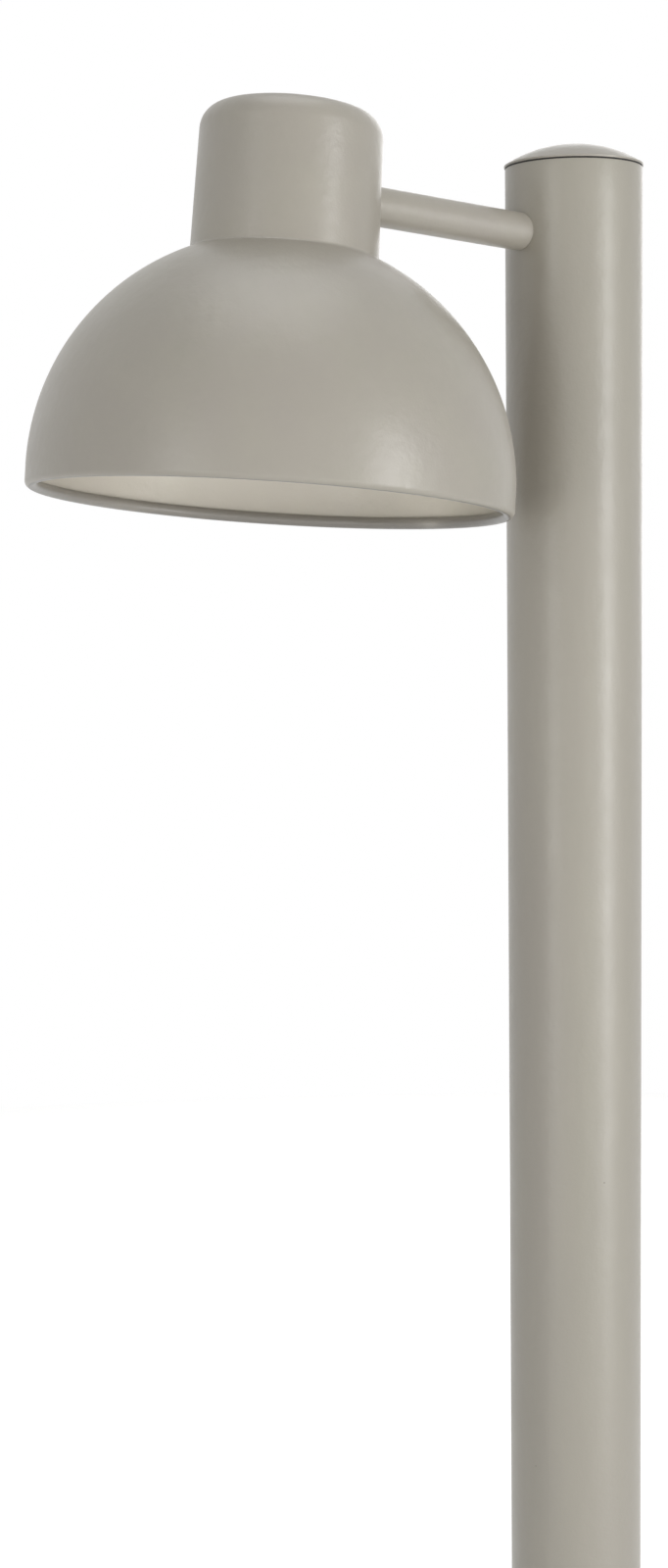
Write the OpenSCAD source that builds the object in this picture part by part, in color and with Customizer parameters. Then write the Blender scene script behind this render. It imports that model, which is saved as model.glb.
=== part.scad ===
// Garden post light: a spun metal shade on a short arm near the top of a round tube post,
// with a glass-covered lamp inside the shade and a bolt-down base plate.
// The origin is the middle of the base plate's underside, +Z is up, and the head points to -X.
// The post is held by its base plate, the arm is drawn against post and shade by hollow nipples,
// and one lead runs from the terminal block in the post through the arm to the lampholder.

/* [Base] */
// Diameter of the base plate
base_dia = 160; // [155:1:220]
// Thickness of the base plate
base_thick = 8; // [5:0.5:15]
// Width of the chamfer round the base plate's upper edge
base_chamfer = 1; // [0.5:0.5:3]
// Diameter of the cable hole in the middle of the base plate
cable_hole_dia = 50; // [20:1:54]
// Depth of the ring groove in the base plate that the post stands in
post_seat = 2; // [1:0.5:3]
// Diameter of the circle that the anchor bolts stand on
bolt_circle_dia = 125; // [110:1:135]
// Diameter of each anchor bolt hole
bolt_hole_dia = 11; // [7:0.5:14]
// Number of anchor bolts
bolt_count = 4; // [3:1:8]
// Leg of the fillet weld between post and base plate
weld_leg = 5; // [2:0.5:8]

/* [Post] */
// Outer diameter of the post
pole_dia = 60; // [58:1:64]
// Wall of the post
pole_wall = 2; // [1:0.5:3]
// Height of the post's open top edge above the ground
pole_height = 840; // [500:10:1200]

/* [Post cap] */
// Thickness of the rubber seal under the cap's lip
seal_thick = 0.6; // [0.4:0.1:2]
// Thickness of the cap's lip
lip_thick = 0.8; // [0.5:0.1:3]
// How far the lip stands out past the post
lip_overhang = 0.4; // [0:0.1:2]
// Height of the domed top above the lip
cap_rise = 8.6; // [4:0.2:14]
// Wall of the cap's dome
cap_wall = 2.5; // [1.5:0.5:4]
// Wall of the plug that goes down into the post
plug_wall = 4.5; // [3.5:0.5:7]
// Depth of the plug
plug_depth = 14; // [10:1:16]
// Thickness of the rubber ring that holds the plug
o_ring_thick = 2.5; // [1.5:0.5:3]

/* [Arm] */
// Outer diameter of the arm
arm_dia = 16; // [15:0.5:20]
// Wall of the arm
arm_wall = 1.5; // [1:0.1:1.7]
// How far the arm's axis meets the post's axis below the post's top edge
arm_drop = 30.6; // [30:0.2:60]
// Distance along the arm from the post's axis to the shade's axis
head_reach = 150; // [144:1:180]
// Angle by which the arm rises towards the head
arm_rise = 3.5; // [2:0.5:5]
// Length of the threaded insert in each end of the arm
insert_length = 14; // [8:1:20]

/* [Shade] */
// Diameter of the shade's dome and skirt
shade_dia = 200; // [180:1:230]
// Wall of the shade
shade_wall = 1.5; // [1:0.1:2]
// Depth below the arm's axis at which the dome's round would close if it had no neck
crown_drop = 18.5; // [16:0.5:25]
// Height of the straight skirt below the dome's centre, down to the rim
skirt_height = 7.5; // [5:0.5:20]
// Diameter of the curled hem round the rim
hem_dia = 5; // [4.5:0.5:8]
// Diameter of the neck at the arm's axis
neck_dia = 75.6; // [74:0.2:82]
// Angle by which each side of the neck opens downwards
neck_draft = 1.5; // [1:0.1:2]
// Height of the neck's flat top above the arm's axis
neck_rise = 32; // [25:0.5:45]
// Radius of the neck's upper edge
neck_corner = 10; // [5:0.5:15]
// Radius of the hollow between neck and dome
neck_fillet = 1.5; // [0.5:0.5:6]
// Angle by which the shade leans towards the post
head_tilt = 5; // [4:0.5:6]

/* [Fixings in the arm's ends] */
// Diameter of the hollow threaded nipples
nipple_dia = 10; // [8:0.5:10]
// Bore of the nipples
nipple_bore = 7; // [5.5:0.5:7]
// How far a nipple stands past its nut
nipple_over = 2; // [1:0.5:3]
// Width across the flats of the nuts
nut_width = 14; // [13:0.5:17]
// Thickness of the nuts on the arm's nipples
nut_thick = 5; // [3:0.5:6]
// Diameter of the washers
washer_dia = 18; // [16:1:22]
// Thickness of the washers
washer_thick = 1.5; // [1:0.5:2]
// Width and height of the saddles that the nuts pull on
saddle_width = 26; // [22:1:28]
// Depth of the saddle in the post, from the post's wall to its flat face
pole_saddle_depth = 5.5; // [4:0.5:7]
// Depth of the saddle in the neck, from the neck's wall to its flat face
neck_saddle_depth = 4; // [3:0.5:6]

/* [Terminals in the post] */
// Width of the steel strip that carries the terminals
strip_width = 26; // [24:1:28]
// Thickness of the strip
strip_thick = 1.5; // [1:0.5:2]
// Distance from the arm's axis down to the strip's lower end
strip_length = 84; // [82:1:100]
// Distance from the arm's axis down to the top of the terminal block
block_drop = 43.4; // [40:0.2:46]
// Height of the terminal block
block_height = 18; // [16:1:22]
// Depth of the terminal block
block_depth = 14; // [13:0.5:17]
// Spacing of the terminals
way_pitch = 10; // [10:0.5:11]
// Number of terminals
way_count = 3; // [2:1:3]
// Distance from the strip to the axis of each terminal
way_offset = 6; // [5:0.5:7]
// Diameter of the supply cable that the clamp takes
clamp_bore = 11; // [8:0.5:12]
// Height of the clamp
clamp_height = 8; // [7:0.5:9]
// Distance from the arm's axis down to the clamp's lower edge
clamp_drop = 82; // [78:1:84]

/* [Lamp] */
// Distance from the arm's axis down to the top of the lampholder
holder_drop = 14; // [13:0.5:16]
// Thickness of the lamp bracket
bracket_thick = 2; // [1.5:0.5:2.5]
// Diameter of the lampholder's head
holder_dia = 44; // [43:0.5:48]
// Height of the lampholder's head
holder_head = 12; // [10:0.5:14]
// Diameter of the lampholder's threaded skirt
holder_skirt_dia = 39.2; // [38:0.2:40]
// Height of the threaded skirt
holder_skirt = 23; // [20:0.5:26]
// Thickness of the glass collar
collar_wall = 2.5; // [2:0.5:3]
// Height of the collar's skirt that the jar screws into
collar_skirt = 14; // [12:0.5:18]
// Outer diameter of the glass jar
jar_dia = 71; // [66:0.5:73]
// Wall of the glass jar
jar_wall = 3; // [2:0.5:4]
// Radius of the jar's lower edge
jar_corner = 14; // [8:1:18]
// Thickness of the seal between jar and collar
jar_seal_thick = 1.5; // [1:0.5:3]
// Diameter of the bulb's globe
bulb_dia = 45; // [40:0.5:50]
// Length of the bulb from its contact to the end of its globe
bulb_length = 78; // [72:1:82]
// Space between the bulb and the bottom of the jar
bulb_space = 4; // [2:0.5:6]

/* [Hidden] */

// Clearances: touching is for curved faces that bear on each other, slip for a shaft in a hole
touching = 0.05;
slip = 0.3;
// How far a cutting shape runs past the face that it cuts
past = 1;

$fa = 3;
$fs = 0.4;

// Post
pole_r = pole_dia / 2;
bore_r = pole_r - pole_wall;
seat_z = base_thick - post_seat;
cap_z = pole_height + seal_thick;
lip_r = pole_r + lip_overhang;
cap_ball_r = (lip_r * lip_r + cap_rise * cap_rise) / (2 * cap_rise);
cap_ball_z = cap_z + lip_thick + cap_rise - cap_ball_r;
plug_r = bore_r - slip;
o_ring_z = cap_z - plug_depth / 2;
o_ring_r = bore_r - touching - o_ring_thick / 2;

// Arm, measured along its axis from the post's axis
arm_z = pole_height - arm_drop;
arm_r = arm_dia / 2;
nipple_r = nipple_dia / 2;
insert_setback = 2;
insert_r = arm_r - arm_wall - touching;
pole_insert_at = pole_r + insert_setback;
neck_r = neck_dia / 2;
head_insert_at = head_reach - neck_r - insert_setback - insert_length;
nipple_grip = 10;

// Stack inside the post, from the saddle's flat face inwards
pole_face = bore_r - pole_saddle_depth;
pole_washer_at = pole_face - strip_thick - washer_thick;
pole_nut_at = pole_washer_at - nut_thick;

// Stack inside the neck, from the saddle's flat face towards the shade's axis
neck_inner_r = neck_r - shade_wall;
neck_face = head_reach - neck_inner_r + neck_saddle_depth;
head_washer_at = neck_face + bracket_thick;
head_nut_at = head_washer_at + washer_thick;

// Shade, with heights counted from the arm's axis along the shade's own axis
head_x = -head_reach * cos(arm_rise);
head_z = arm_z + head_reach * sin(arm_rise);
arm_slope = head_tilt - arm_rise;
dome_r = shade_dia / 2;
dome_z = -crown_drop - dome_r;
rim_z = dome_z - skirt_height;
hem_r = hem_dia / 2;

// Terminals
strip_kink = saddle_width / 2 + 1;
strip_top = saddle_width / 2 - 1;
strip_back_x = arm_point(pole_face, -strip_kink)[0];
strip_x = strip_back_x + strip_thick;
block_width = way_count * way_pitch;
block_z = arm_z - block_drop - block_height;
way_r = 2.6;
way_bore_r = 1.7;
way_x = strip_x + way_offset;
way_screw_r = 1.5;
way_screw_recess = 1;
way_screw_inset = 4.5;
way_screw_access = 0.4;
small_screw_r = 1.5;
small_head_r = 2.8;
small_head_thick = 2;
clamp_z = arm_z - clamp_drop;
clamp_sheet = 1.5;
clamp_screw_y = strip_width / 2 - 3;
earth_z = arm_z - 28;
earth_screw_r = 2;
earth_head_r = 4;
earth_head_thick = 2.5;
earth_washer_r = 4.6;
earth_washer_thick = 1;

// Lamp
holder_z = -holder_drop;
bracket_top_z = holder_z + bracket_thick;
bracket_r = holder_dia / 2 + 2;
bracket_bend = 2;
tab_width = saddle_width - 2;
holder_nut_thick = 4;
holder_floor = 4;
cavity_r = 14.5;
cavity_z = holder_z - holder_floor;
shell_wall = 0.5;
shell_r = cavity_r - touching;
shell_top_z = cavity_z - 6;
holder_shoulder_z = holder_z - holder_head;
holder_end_z = holder_shoulder_z - holder_skirt;
skirt_r = holder_skirt_dia / 2;
contact_thick = 0.6;
contact_low_z = cavity_z - 3;
contact_width = 6;
collar_hole_r = skirt_r + slip;
collar_flat_r = skirt_r + 7;
jar_r = jar_dia / 2;
jar_neck_r = jar_r + 1.5;
collar_r = jar_neck_r + 1.2 + collar_wall;
collar_seat_z = holder_shoulder_z - collar_wall - 9.5;
ring_thick = 5.5;
ring_r = skirt_r + 5;
ring_notches = 6;
jar_top_z = collar_seat_z - jar_seal_thick;
bulb_tip_z = contact_low_z - 0.2;
bulb_end_z = bulb_tip_z - bulb_length;
bulb_r = bulb_dia / 2;
bulb_cap_r = 13.2;
bulb_cap_z = bulb_tip_z - 25;
jar_floor_z = bulb_end_z - bulb_space;
jar_neck_z = jar_top_z - collar_skirt + 3;

// Lead: hand-chosen points on its middle line, from the terminal block to the lampholder,
// with heights counted from where the arm's axis meets the post's axis
lead_dia = 4.6;
lead_sides = 10;
lead_route = [
    [-15.8, 0, -43], [-15.4, 0, -38.4], [-12.5, 0, -32.4], [-7, 0, -26.9], [-1, 0, -21.9],
    [3.5, 0, -16.4], [5, 0, -10.4], [3, 0, -4.4], [-2, 0, -0.6], [-8, 0, 0.6], [-14, 0, 0.9],
    [-26, 0, 1.6], [-40, 0, 2.4], [-54, 0, 3.3], [-68, 0, 4.2], [-82, 0, 5],
    [-96, 0, 5.9], [-110, 0, 6.7], [-122, 0, 7.5], [-130, 0, 8.3], [-137, 0, 9.2],
    [-142.5, 0, 9], [-147, 0, 6.4], [-149.6, 0, 2.4], [-150.5, 0, -1.9], [-151, 0, -6.2]
];

// A point u along the arm and v above its axis, as [x, z] in the part's own frame
function arm_point(u, v) = [
    -u * cos(arm_rise) + v * sin(arm_rise),
    arm_z + u * sin(arm_rise) + v * cos(arm_rise)
];

// Places its children so that local +Z runs along the arm towards the head and local +X is up
module at_arm() {
    translate([0, 0, arm_z])
        rotate([0, arm_rise - 90, 0])
            children();
}

// Places its children on the shade's axis, with local z = 0 where the arm's axis crosses it
module at_head() {
    translate([head_x, 0, head_z])
        rotate([0, head_tilt, 0])
            children();
}

// Places its children so that local +Z leaves the terminal strip's front face at y and z
module at_strip(y, z) {
    translate([strip_x, y, z])
        rotate([0, 90, 0])
            children();
}

module tube(outer_r, inner_r, length) {
    difference() {
        cylinder(r = outer_r, h = length);
        translate([0, 0, -past])
            cylinder(r = inner_r, h = length + 2 * past);
    }
}

module nut(thick) {
    difference() {
        cylinder(r = nut_width / 2 / cos(30), h = thick, $fn = 6);
        translate([0, 0, -past])
            cylinder(r = nipple_r + touching, h = thick + 2 * past);
    }
}

// Round-headed screw with its head's underside at z = 0 and a slot across its head
module screw(shank_r, shank_length, head_r, head_thick) {
    slot_width = head_r / 3;
    difference() {
        union() {
            translate([0, 0, -shank_length])
                cylinder(r = shank_r, h = shank_length + head_thick / 2);
            cylinder(r1 = head_r, r2 = head_r * 0.8, h = head_thick);
        }
        translate([-head_r - past, -slot_width / 2, head_thick / 2])
            cube([2 * head_r + 2 * past, slot_width, head_thick]);
    }
}

// Base and post

module base_plate() {
    base_r = base_dia / 2;
    groove_outer_r = pole_r + touching;
    groove_inner_r = bore_r - touching;
    color("gray")
        difference() {
            rotate_extrude()
                polygon([
                    [cable_hole_dia / 2, 0],
                    [base_r, 0],
                    [base_r, base_thick - base_chamfer],
                    [base_r - base_chamfer, base_thick],
                    [groove_outer_r, base_thick],
                    [groove_outer_r, seat_z],
                    [groove_inner_r, seat_z],
                    [groove_inner_r, base_thick],
                    [cable_hole_dia / 2, base_thick]
                ]);
            for (i = [0 : bolt_count - 1])
                rotate([0, 0, (i + 0.5) * 360 / bolt_count])
                    translate([bolt_circle_dia / 2, 0, -past])
                        cylinder(d = bolt_hole_dia, h = base_thick + 2 * past);
        }
}

module base_weld() {
    inner_r = pole_r + touching;
    color("gray")
        rotate_extrude()
            polygon([
                [inner_r, base_thick],
                [inner_r + weld_leg, base_thick],
                [inner_r, base_thick + weld_leg]
            ]);
}

module pole_tube() {
    color("darkgray")
        difference() {
            translate([0, 0, seat_z])
                tube(pole_r, bore_r, pole_height - seat_z);
            at_arm()
                cylinder(r = nipple_r + slip, h = pole_r + past);
        }
}

// Half section of the cap: lip and dome, and the plug below them with its ring groove
module cap_section() {
    plug_inner_r = plug_r - plug_wall;
    groove_r = o_ring_r - o_ring_thick / 2 - touching;
    groove_width = o_ring_thick + 2 * touching;
    difference() {
        union() {
            translate([0, cap_z])
                square([lip_r, lip_thick]);
            intersection() {
                translate([0, cap_ball_z])
                    circle(r = cap_ball_r);
                translate([0, cap_z])
                    square([lip_r, cap_rise + lip_thick]);
            }
            translate([0, cap_z - plug_depth])
                square([plug_r, plug_depth + lip_thick / 2]);
        }
        intersection() {
            translate([0, cap_ball_z])
                circle(r = cap_ball_r - cap_wall);
            translate([0, cap_z - plug_depth - past])
                square([plug_inner_r, plug_depth + cap_rise + past]);
        }
        translate([groove_r, o_ring_z - groove_width / 2])
            square([plug_wall, groove_width]);
    }
}

module pole_cap() {
    color("darkgray")
        rotate_extrude()
            cap_section();
}

module cap_seal() {
    color("black")
        translate([0, 0, pole_height])
            tube(pole_r - touching, plug_r + touching, seal_thick);
}

module cap_o_ring() {
    color("black")
        rotate_extrude()
            translate([o_ring_r, o_ring_z])
                circle(d = o_ring_thick);
}

// Arm

module arm_tube() {
    color("darkgray")
        difference() {
            at_arm()
                cylinder(r = arm_r, h = head_reach);
            at_arm()
                translate([0, 0, -past])
                    cylinder(r = arm_r - arm_wall, h = head_reach + 2 * past);
            translate([0, 0, arm_z - pole_dia])
                cylinder(r = pole_r + touching, h = 2 * pole_dia);
            at_head()
                rotate_extrude()
                    neck_outline(-touching, -neck_rise);
        }
}

module arm_insert(at) {
    at_arm()
        translate([0, 0, at])
            tube(insert_r, nipple_r + touching, insert_length);
}

module arm_insert_pole() {
    color("silver")
        arm_insert(pole_insert_at);
}

module arm_insert_head() {
    color("silver")
        arm_insert(head_insert_at);
}

// A hollow nipple from one distance along the arm to another
module arm_nipple(from, to) {
    at_arm()
        translate([0, 0, from])
            tube(nipple_r, nipple_bore / 2, to - from);
}

module pole_nipple() {
    color("silver")
        arm_nipple(pole_nut_at - nipple_over, pole_insert_at + nipple_grip);
}

module pole_saddle() {
    color("silver")
        difference() {
            intersection() {
                translate([0, 0, arm_z - saddle_width])
                    cylinder(r = bore_r - touching, h = 2 * saddle_width);
                at_arm()
                    translate([-saddle_width / 2, -saddle_width / 2, pole_face])
                        cube([saddle_width, saddle_width, bore_r]);
            }
            at_arm()
                cylinder(r = nipple_r + slip, h = pole_r);
        }
}

module pole_washer() {
    color("silver")
        at_arm()
            translate([0, 0, pole_washer_at])
                tube(washer_dia / 2, nipple_r + slip, washer_thick);
}

module pole_nut() {
    color("silver")
        at_arm()
            translate([0, 0, pole_nut_at])
                nut(nut_thick);
}

// Terminals in the post

module terminal_strip() {
    low_z = arm_z - strip_length;
    color("silver")
        difference() {
            rotate([90, 0, 0])
                translate([0, 0, -strip_width / 2])
                    linear_extrude(strip_width)
                        polygon([
                            arm_point(pole_face, strip_top),
                            arm_point(pole_face, -strip_kink),
                            [strip_back_x, low_z],
                            [strip_x, low_z],
                            arm_point(pole_face - strip_thick, -strip_kink),
                            arm_point(pole_face - strip_thick, strip_top)
                        ]);
            at_arm()
                cylinder(r = nipple_r + slip, h = pole_r);
            for (side = [-1, 1]) {
                at_strip(side * way_pitch / 2, block_z + block_height / 2)
                    translate([0, 0, -2 * strip_thick])
                        cylinder(r = small_screw_r + touching, h = 3 * strip_thick);
                at_strip(side * clamp_screw_y, clamp_z + clamp_height / 2)
                    translate([0, 0, -2 * strip_thick])
                        cylinder(r = small_screw_r + touching, h = 3 * strip_thick);
            }
            at_strip(0, earth_z)
                translate([0, 0, -2 * strip_thick])
                    cylinder(r = earth_screw_r + touching, h = 3 * strip_thick);
        }
}

// Repeats its children at every terminal's axis
module each_way() {
    for (i = [0 : way_count - 1])
        translate([way_x, (i - (way_count - 1) / 2) * way_pitch, block_z])
            children();
}

// Repeats its children at both clamping screws of a terminal, with local +Z along the screw
module each_way_screw() {
    for (z = [way_screw_inset, block_height - way_screw_inset])
        translate([0, 0, z])
            rotate([0, 90, 0])
                children();
}

module terminal_block() {
    color("white")
        difference() {
            translate([strip_x, -block_width / 2, block_z])
                cube([block_depth, block_width, block_height]);
            each_way() {
                translate([0, 0, -past])
                    cylinder(r = way_r + touching, h = block_height + 2 * past);
                each_way_screw()
                    cylinder(r = way_screw_r + way_screw_access, h = block_depth);
            }
            for (side = [-1, 1])
                at_strip(side * way_pitch / 2, block_z + block_height / 2) {
                    translate([0, 0, -past])
                        cylinder(r = small_screw_r + slip / 2, h = block_depth + 2 * past);
                    translate([0, 0, block_depth - small_head_thick - slip])
                        cylinder(r = small_head_r + slip, h = block_depth);
                }
        }
}

module terminal_inserts() {
    color("gold")
        each_way()
            difference() {
                translate([0, 0, way_screw_recess])
                    tube(way_r, way_bore_r, block_height - 2 * way_screw_recess);
                each_way_screw()
                    cylinder(r = way_screw_r + touching, h = block_depth);
            }
}

module terminal_screws() {
    length = block_depth - way_offset - way_bore_r / 2 - way_screw_recess;
    slot_depth = 1;
    slot_width = 0.7;
    color("silver")
        each_way()
            each_way_screw()
                translate([0, 0, way_bore_r / 2])
                    difference() {
                        cylinder(r = way_screw_r, h = length);
                        translate([-way_r, -slot_width / 2, length - slot_depth])
                            cube([2 * way_r, slot_width, slot_depth + past]);
                    }
}

module block_screws() {
    color("silver")
        for (side = [-1, 1])
            at_strip(side * way_pitch / 2, block_z + block_height / 2)
                translate([0, 0, block_depth - small_head_thick - slip])
                    screw(small_screw_r, block_depth + strip_thick - small_head_thick - slip,
                          small_head_r, small_head_thick);
}

module cable_clamp() {
    inner_r = clamp_bore / 2;
    outer_r = inner_r + clamp_sheet;
    color("silver")
        difference() {
            translate([strip_x, 0, clamp_z])
                linear_extrude(clamp_height)
                    difference() {
                        union() {
                            translate([0, -strip_width / 2])
                                square([clamp_sheet, strip_width]);
                            circle(r = outer_r);
                        }
                        circle(r = inner_r);
                        translate([-strip_width, -strip_width])
                            square([strip_width, 2 * strip_width]);
                    }
            for (side = [-1, 1])
                at_strip(side * clamp_screw_y, clamp_z + clamp_height / 2)
                    translate([0, 0, -past])
                        cylinder(r = small_screw_r + touching, h = clamp_sheet + 2 * past);
        }
}

module clamp_screws() {
    color("silver")
        for (side = [-1, 1])
            at_strip(side * clamp_screw_y, clamp_z + clamp_height / 2)
                translate([0, 0, clamp_sheet])
                    screw(small_screw_r, clamp_sheet + strip_thick, small_head_r, small_head_thick);
}

module earth_screw() {
    color("gold")
        at_strip(0, earth_z)
            translate([0, 0, earth_washer_thick])
                screw(earth_screw_r, earth_washer_thick + strip_thick, earth_head_r, earth_head_thick);
}

module earth_washer() {
    color("silver")
        at_strip(0, earth_z)
            tube(earth_washer_r, earth_screw_r + touching, earth_washer_thick);
}

// Shade

// Half outline of the neck, drawn in from its outer skin by inset, down to height low
module neck_outline(inset, low) {
    r = neck_r - inset / cos(neck_draft);
    top = neck_rise - inset;
    corner = neck_corner - inset;
    corner_z = top - corner;
    corner_x = r - corner_z * tan(neck_draft) - corner / cos(neck_draft);
    translate([corner_x, corner_z])
        circle(r = corner);
    polygon([
        [0, low],
        [r - low * tan(neck_draft), low],
        [corner_x + corner * cos(neck_draft), corner_z + corner * sin(neck_draft)],
        [corner_x, top],
        [0, top]
    ]);
}

// Half outline of the dome and its straight skirt, drawn in by inset, down to height low
module dome_outline(inset, low) {
    r = dome_r - inset;
    intersection() {
        translate([0, dome_z])
            circle(r = r);
        translate([0, dome_z])
            square([r, r]);
    }
    translate([0, low])
        square([r, dome_z - low]);
}

// The hollow that rounds the corner between neck and dome, tangent to both
module fillet_outline(inset) {
    r = dome_r - inset;
    fillet = neck_fillet + inset;
    slope = tan(neck_draft);
    base = neck_r - inset / cos(neck_draft) + fillet / cos(neck_draft);
    a = 1 + slope * slope;
    b = -2 * (base * slope + dome_z);
    c = base * base + dome_z * dome_z - (r + fillet) * (r + fillet);
    centre_z = (-b + sqrt(b * b - 4 * a * c)) / (2 * a);
    centre_x = base - centre_z * slope;
    on_neck = [centre_x - fillet * cos(neck_draft), centre_z - fillet * sin(neck_draft)];
    share = r / (r + fillet);
    on_dome = [centre_x * share, dome_z + (centre_z - dome_z) * share];
    difference() {
        polygon([on_neck, [centre_x, centre_z], on_dome, [on_neck[0], on_dome[1]]]);
        translate([centre_x, centre_z])
            circle(r = fillet);
    }
}

module head_outline(inset, low) {
    neck_outline(inset, dome_z);
    dome_outline(inset, low);
    fillet_outline(inset);
}

// Section of the hem: the wall curls inwards and up, and its edge stops short of the wall
module hem_section() {
    inner_r = hem_r - shade_wall;
    wall_top = shade_wall / 2;
    curl = 270;
    steps = 12;
    translate([dome_r - hem_r, rim_z + hem_r])
        polygon(concat(
            [[inner_r, wall_top], [hem_r, wall_top]],
            [for (i = [0 : steps]) hem_r * [cos(i * curl / steps), -sin(i * curl / steps)]],
            [for (i = [steps : -1 : 0]) inner_r * [cos(i * curl / steps), -sin(i * curl / steps)]]
        ));
}

module shade() {
    color("tan")
        difference() {
            at_head() {
                rotate_extrude()
                    difference() {
                        head_outline(0, rim_z + hem_r);
                        head_outline(shade_wall, rim_z - past);
                    }
                rotate_extrude()
                    hem_section();
            }
            at_arm()
                translate([0, 0, head_reach - neck_r - arm_r])
                    cylinder(r = nipple_r + slip, h = 2 * arm_r);
        }
}

module neck_saddle() {
    color("silver")
        difference() {
            intersection() {
                at_head()
                    rotate_extrude()
                        neck_outline(shade_wall + touching, -neck_rise);
                at_arm()
                    translate([-saddle_width / 2, -saddle_width / 2, head_reach - neck_r])
                        cube([saddle_width, saddle_width, neck_face - head_reach + neck_r]);
            }
            at_arm()
                translate([0, 0, head_reach - neck_r])
                    cylinder(r = nipple_r + slip, h = neck_r);
        }
}

module head_nipple() {
    color("silver")
        arm_nipple(head_insert_at + insert_length - nipple_grip, head_nut_at + nut_thick + nipple_over);
}

module head_washer() {
    color("silver")
        at_arm()
            translate([0, 0, head_washer_at])
                tube(washer_dia / 2, nipple_r + slip, washer_thick);
}

module head_nut() {
    color("silver")
        at_arm()
            translate([0, 0, head_nut_at])
                nut(nut_thick);
}

// Lamp

// Side outline of the bracket's strap: level under the neck, bent up square to the arm
module strap_outline() {
    outer = bracket_bend + bracket_thick;
    bend_z = bracket_top_z + bracket_bend;
    bend_x = (head_reach - neck_face - outer - bend_z * sin(arm_slope)) / cos(arm_slope);
    centre = [bend_x, bend_z];
    steps = 12;
    turn = (90 + arm_slope) / steps;
    up = (tab_width / 2 - bend_z) * [-sin(arm_slope), cos(arm_slope)];
    along = [cos(arm_slope), sin(arm_slope)];
    start_x = bracket_r / 2;
    polygon(concat(
        [[start_x, holder_z]],
        [for (i = [0 : steps]) centre + outer * [cos(i * turn - 90), sin(i * turn - 90)]],
        [centre + outer * along + up, centre + bracket_bend * along + up],
        [for (i = [steps : -1 : 0]) centre + bracket_bend * [cos(i * turn - 90), sin(i * turn - 90)]],
        [[start_x, bracket_top_z]]
    ));
}

module lamp_bracket() {
    color("silver")
        difference() {
            at_head() {
                rotate([90, 0, 0])
                    translate([0, 0, -tab_width / 2])
                        linear_extrude(tab_width)
                            strap_outline();
                translate([0, 0, holder_z])
                    cylinder(r = bracket_r, h = bracket_thick);
            }
            at_head()
                translate([0, 0, holder_z - past])
                    cylinder(r = nipple_r + slip, h = bracket_thick + 2 * past);
            at_arm()
                translate([0, 0, head_reach - neck_r])
                    cylinder(r = nipple_r + slip, h = neck_r / 2);
        }
}

module holder_nipple() {
    low = cavity_z + 1;
    color("silver")
        at_head()
            translate([0, 0, low])
                tube(nipple_r, nipple_bore / 2, bracket_top_z + holder_nut_thick + 0.5 - low);
}

module holder_nut() {
    color("silver")
        at_head()
            translate([0, 0, bracket_top_z])
                nut(holder_nut_thick);
}

module lampholder() {
    edge = 1;
    holder_r = holder_dia / 2;
    color("ivory")
        at_head()
            rotate_extrude()
                polygon([
                    [nipple_r + touching, holder_z],
                    [holder_r - edge, holder_z],
                    [holder_r, holder_z - edge],
                    [holder_r, holder_shoulder_z],
                    [skirt_r, holder_shoulder_z],
                    [skirt_r, holder_end_z],
                    [cavity_r, holder_end_z],
                    [cavity_r, cavity_z],
                    [nipple_r + touching, cavity_z]
                ]);
}

module holder_shell() {
    color("gold")
        at_head()
            translate([0, 0, holder_end_z + 1])
                tube(shell_r, shell_r - shell_wall, shell_top_z - holder_end_z - 1);
}

// Spring tongue: its foot lies under the holder's floor and its tip presses on the bulb's contact
module holder_contact() {
    foot_x = 11;
    bend_x = 6;
    tip_x = -3;
    color("gold")
        at_head()
            rotate([90, 0, 0])
                translate([0, 0, -contact_width / 2])
                    linear_extrude(contact_width)
                        polygon([
                            [foot_x, cavity_z],
                            [bend_x, cavity_z],
                            [tip_x, contact_low_z + contact_thick],
                            [tip_x, contact_low_z],
                            [bend_x, cavity_z - contact_thick],
                            [foot_x, cavity_z - contact_thick]
                        ]);
}

module glass_collar() {
    flat_z = holder_shoulder_z;
    seat_r = jar_r - jar_wall;
    color("silver")
        at_head()
            rotate_extrude()
                polygon([
                    [collar_hole_r, flat_z],
                    [collar_flat_r, flat_z],
                    [collar_r, collar_seat_z + collar_wall],
                    [collar_r, collar_seat_z - collar_skirt],
                    [collar_r - collar_wall, collar_seat_z - collar_skirt],
                    [collar_r - collar_wall, collar_seat_z],
                    [seat_r, collar_seat_z],
                    [collar_flat_r - 1, flat_z - collar_wall],
                    [collar_hole_r, flat_z - collar_wall]
                ]);
}

module collar_ring() {
    notch_r = 1.6;
    color("ivory")
        at_head()
            translate([0, 0, holder_shoulder_z - collar_wall - ring_thick])
                difference() {
                    tube(ring_r, skirt_r + touching, ring_thick);
                    for (i = [0 : ring_notches - 1])
                        rotate([0, 0, i * 360 / ring_notches])
                            translate([ring_r, 0, -past])
                                cylinder(r = notch_r, h = ring_thick + 2 * past);
                }
}

module jar_seal() {
    color("black")
        at_head()
            translate([0, 0, jar_top_z])
                tube(jar_neck_r, jar_r - jar_wall, jar_seal_thick);
}

// Half outline of the jar's body, from height low up to height high, with a round lower edge
module jar_outline(r, corner, low, high) {
    translate([r - corner, low + corner])
        circle(r = corner);
    translate([0, low])
        square([r - corner, corner]);
    translate([0, low + corner])
        square([r, high - low - corner]);
}

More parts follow.
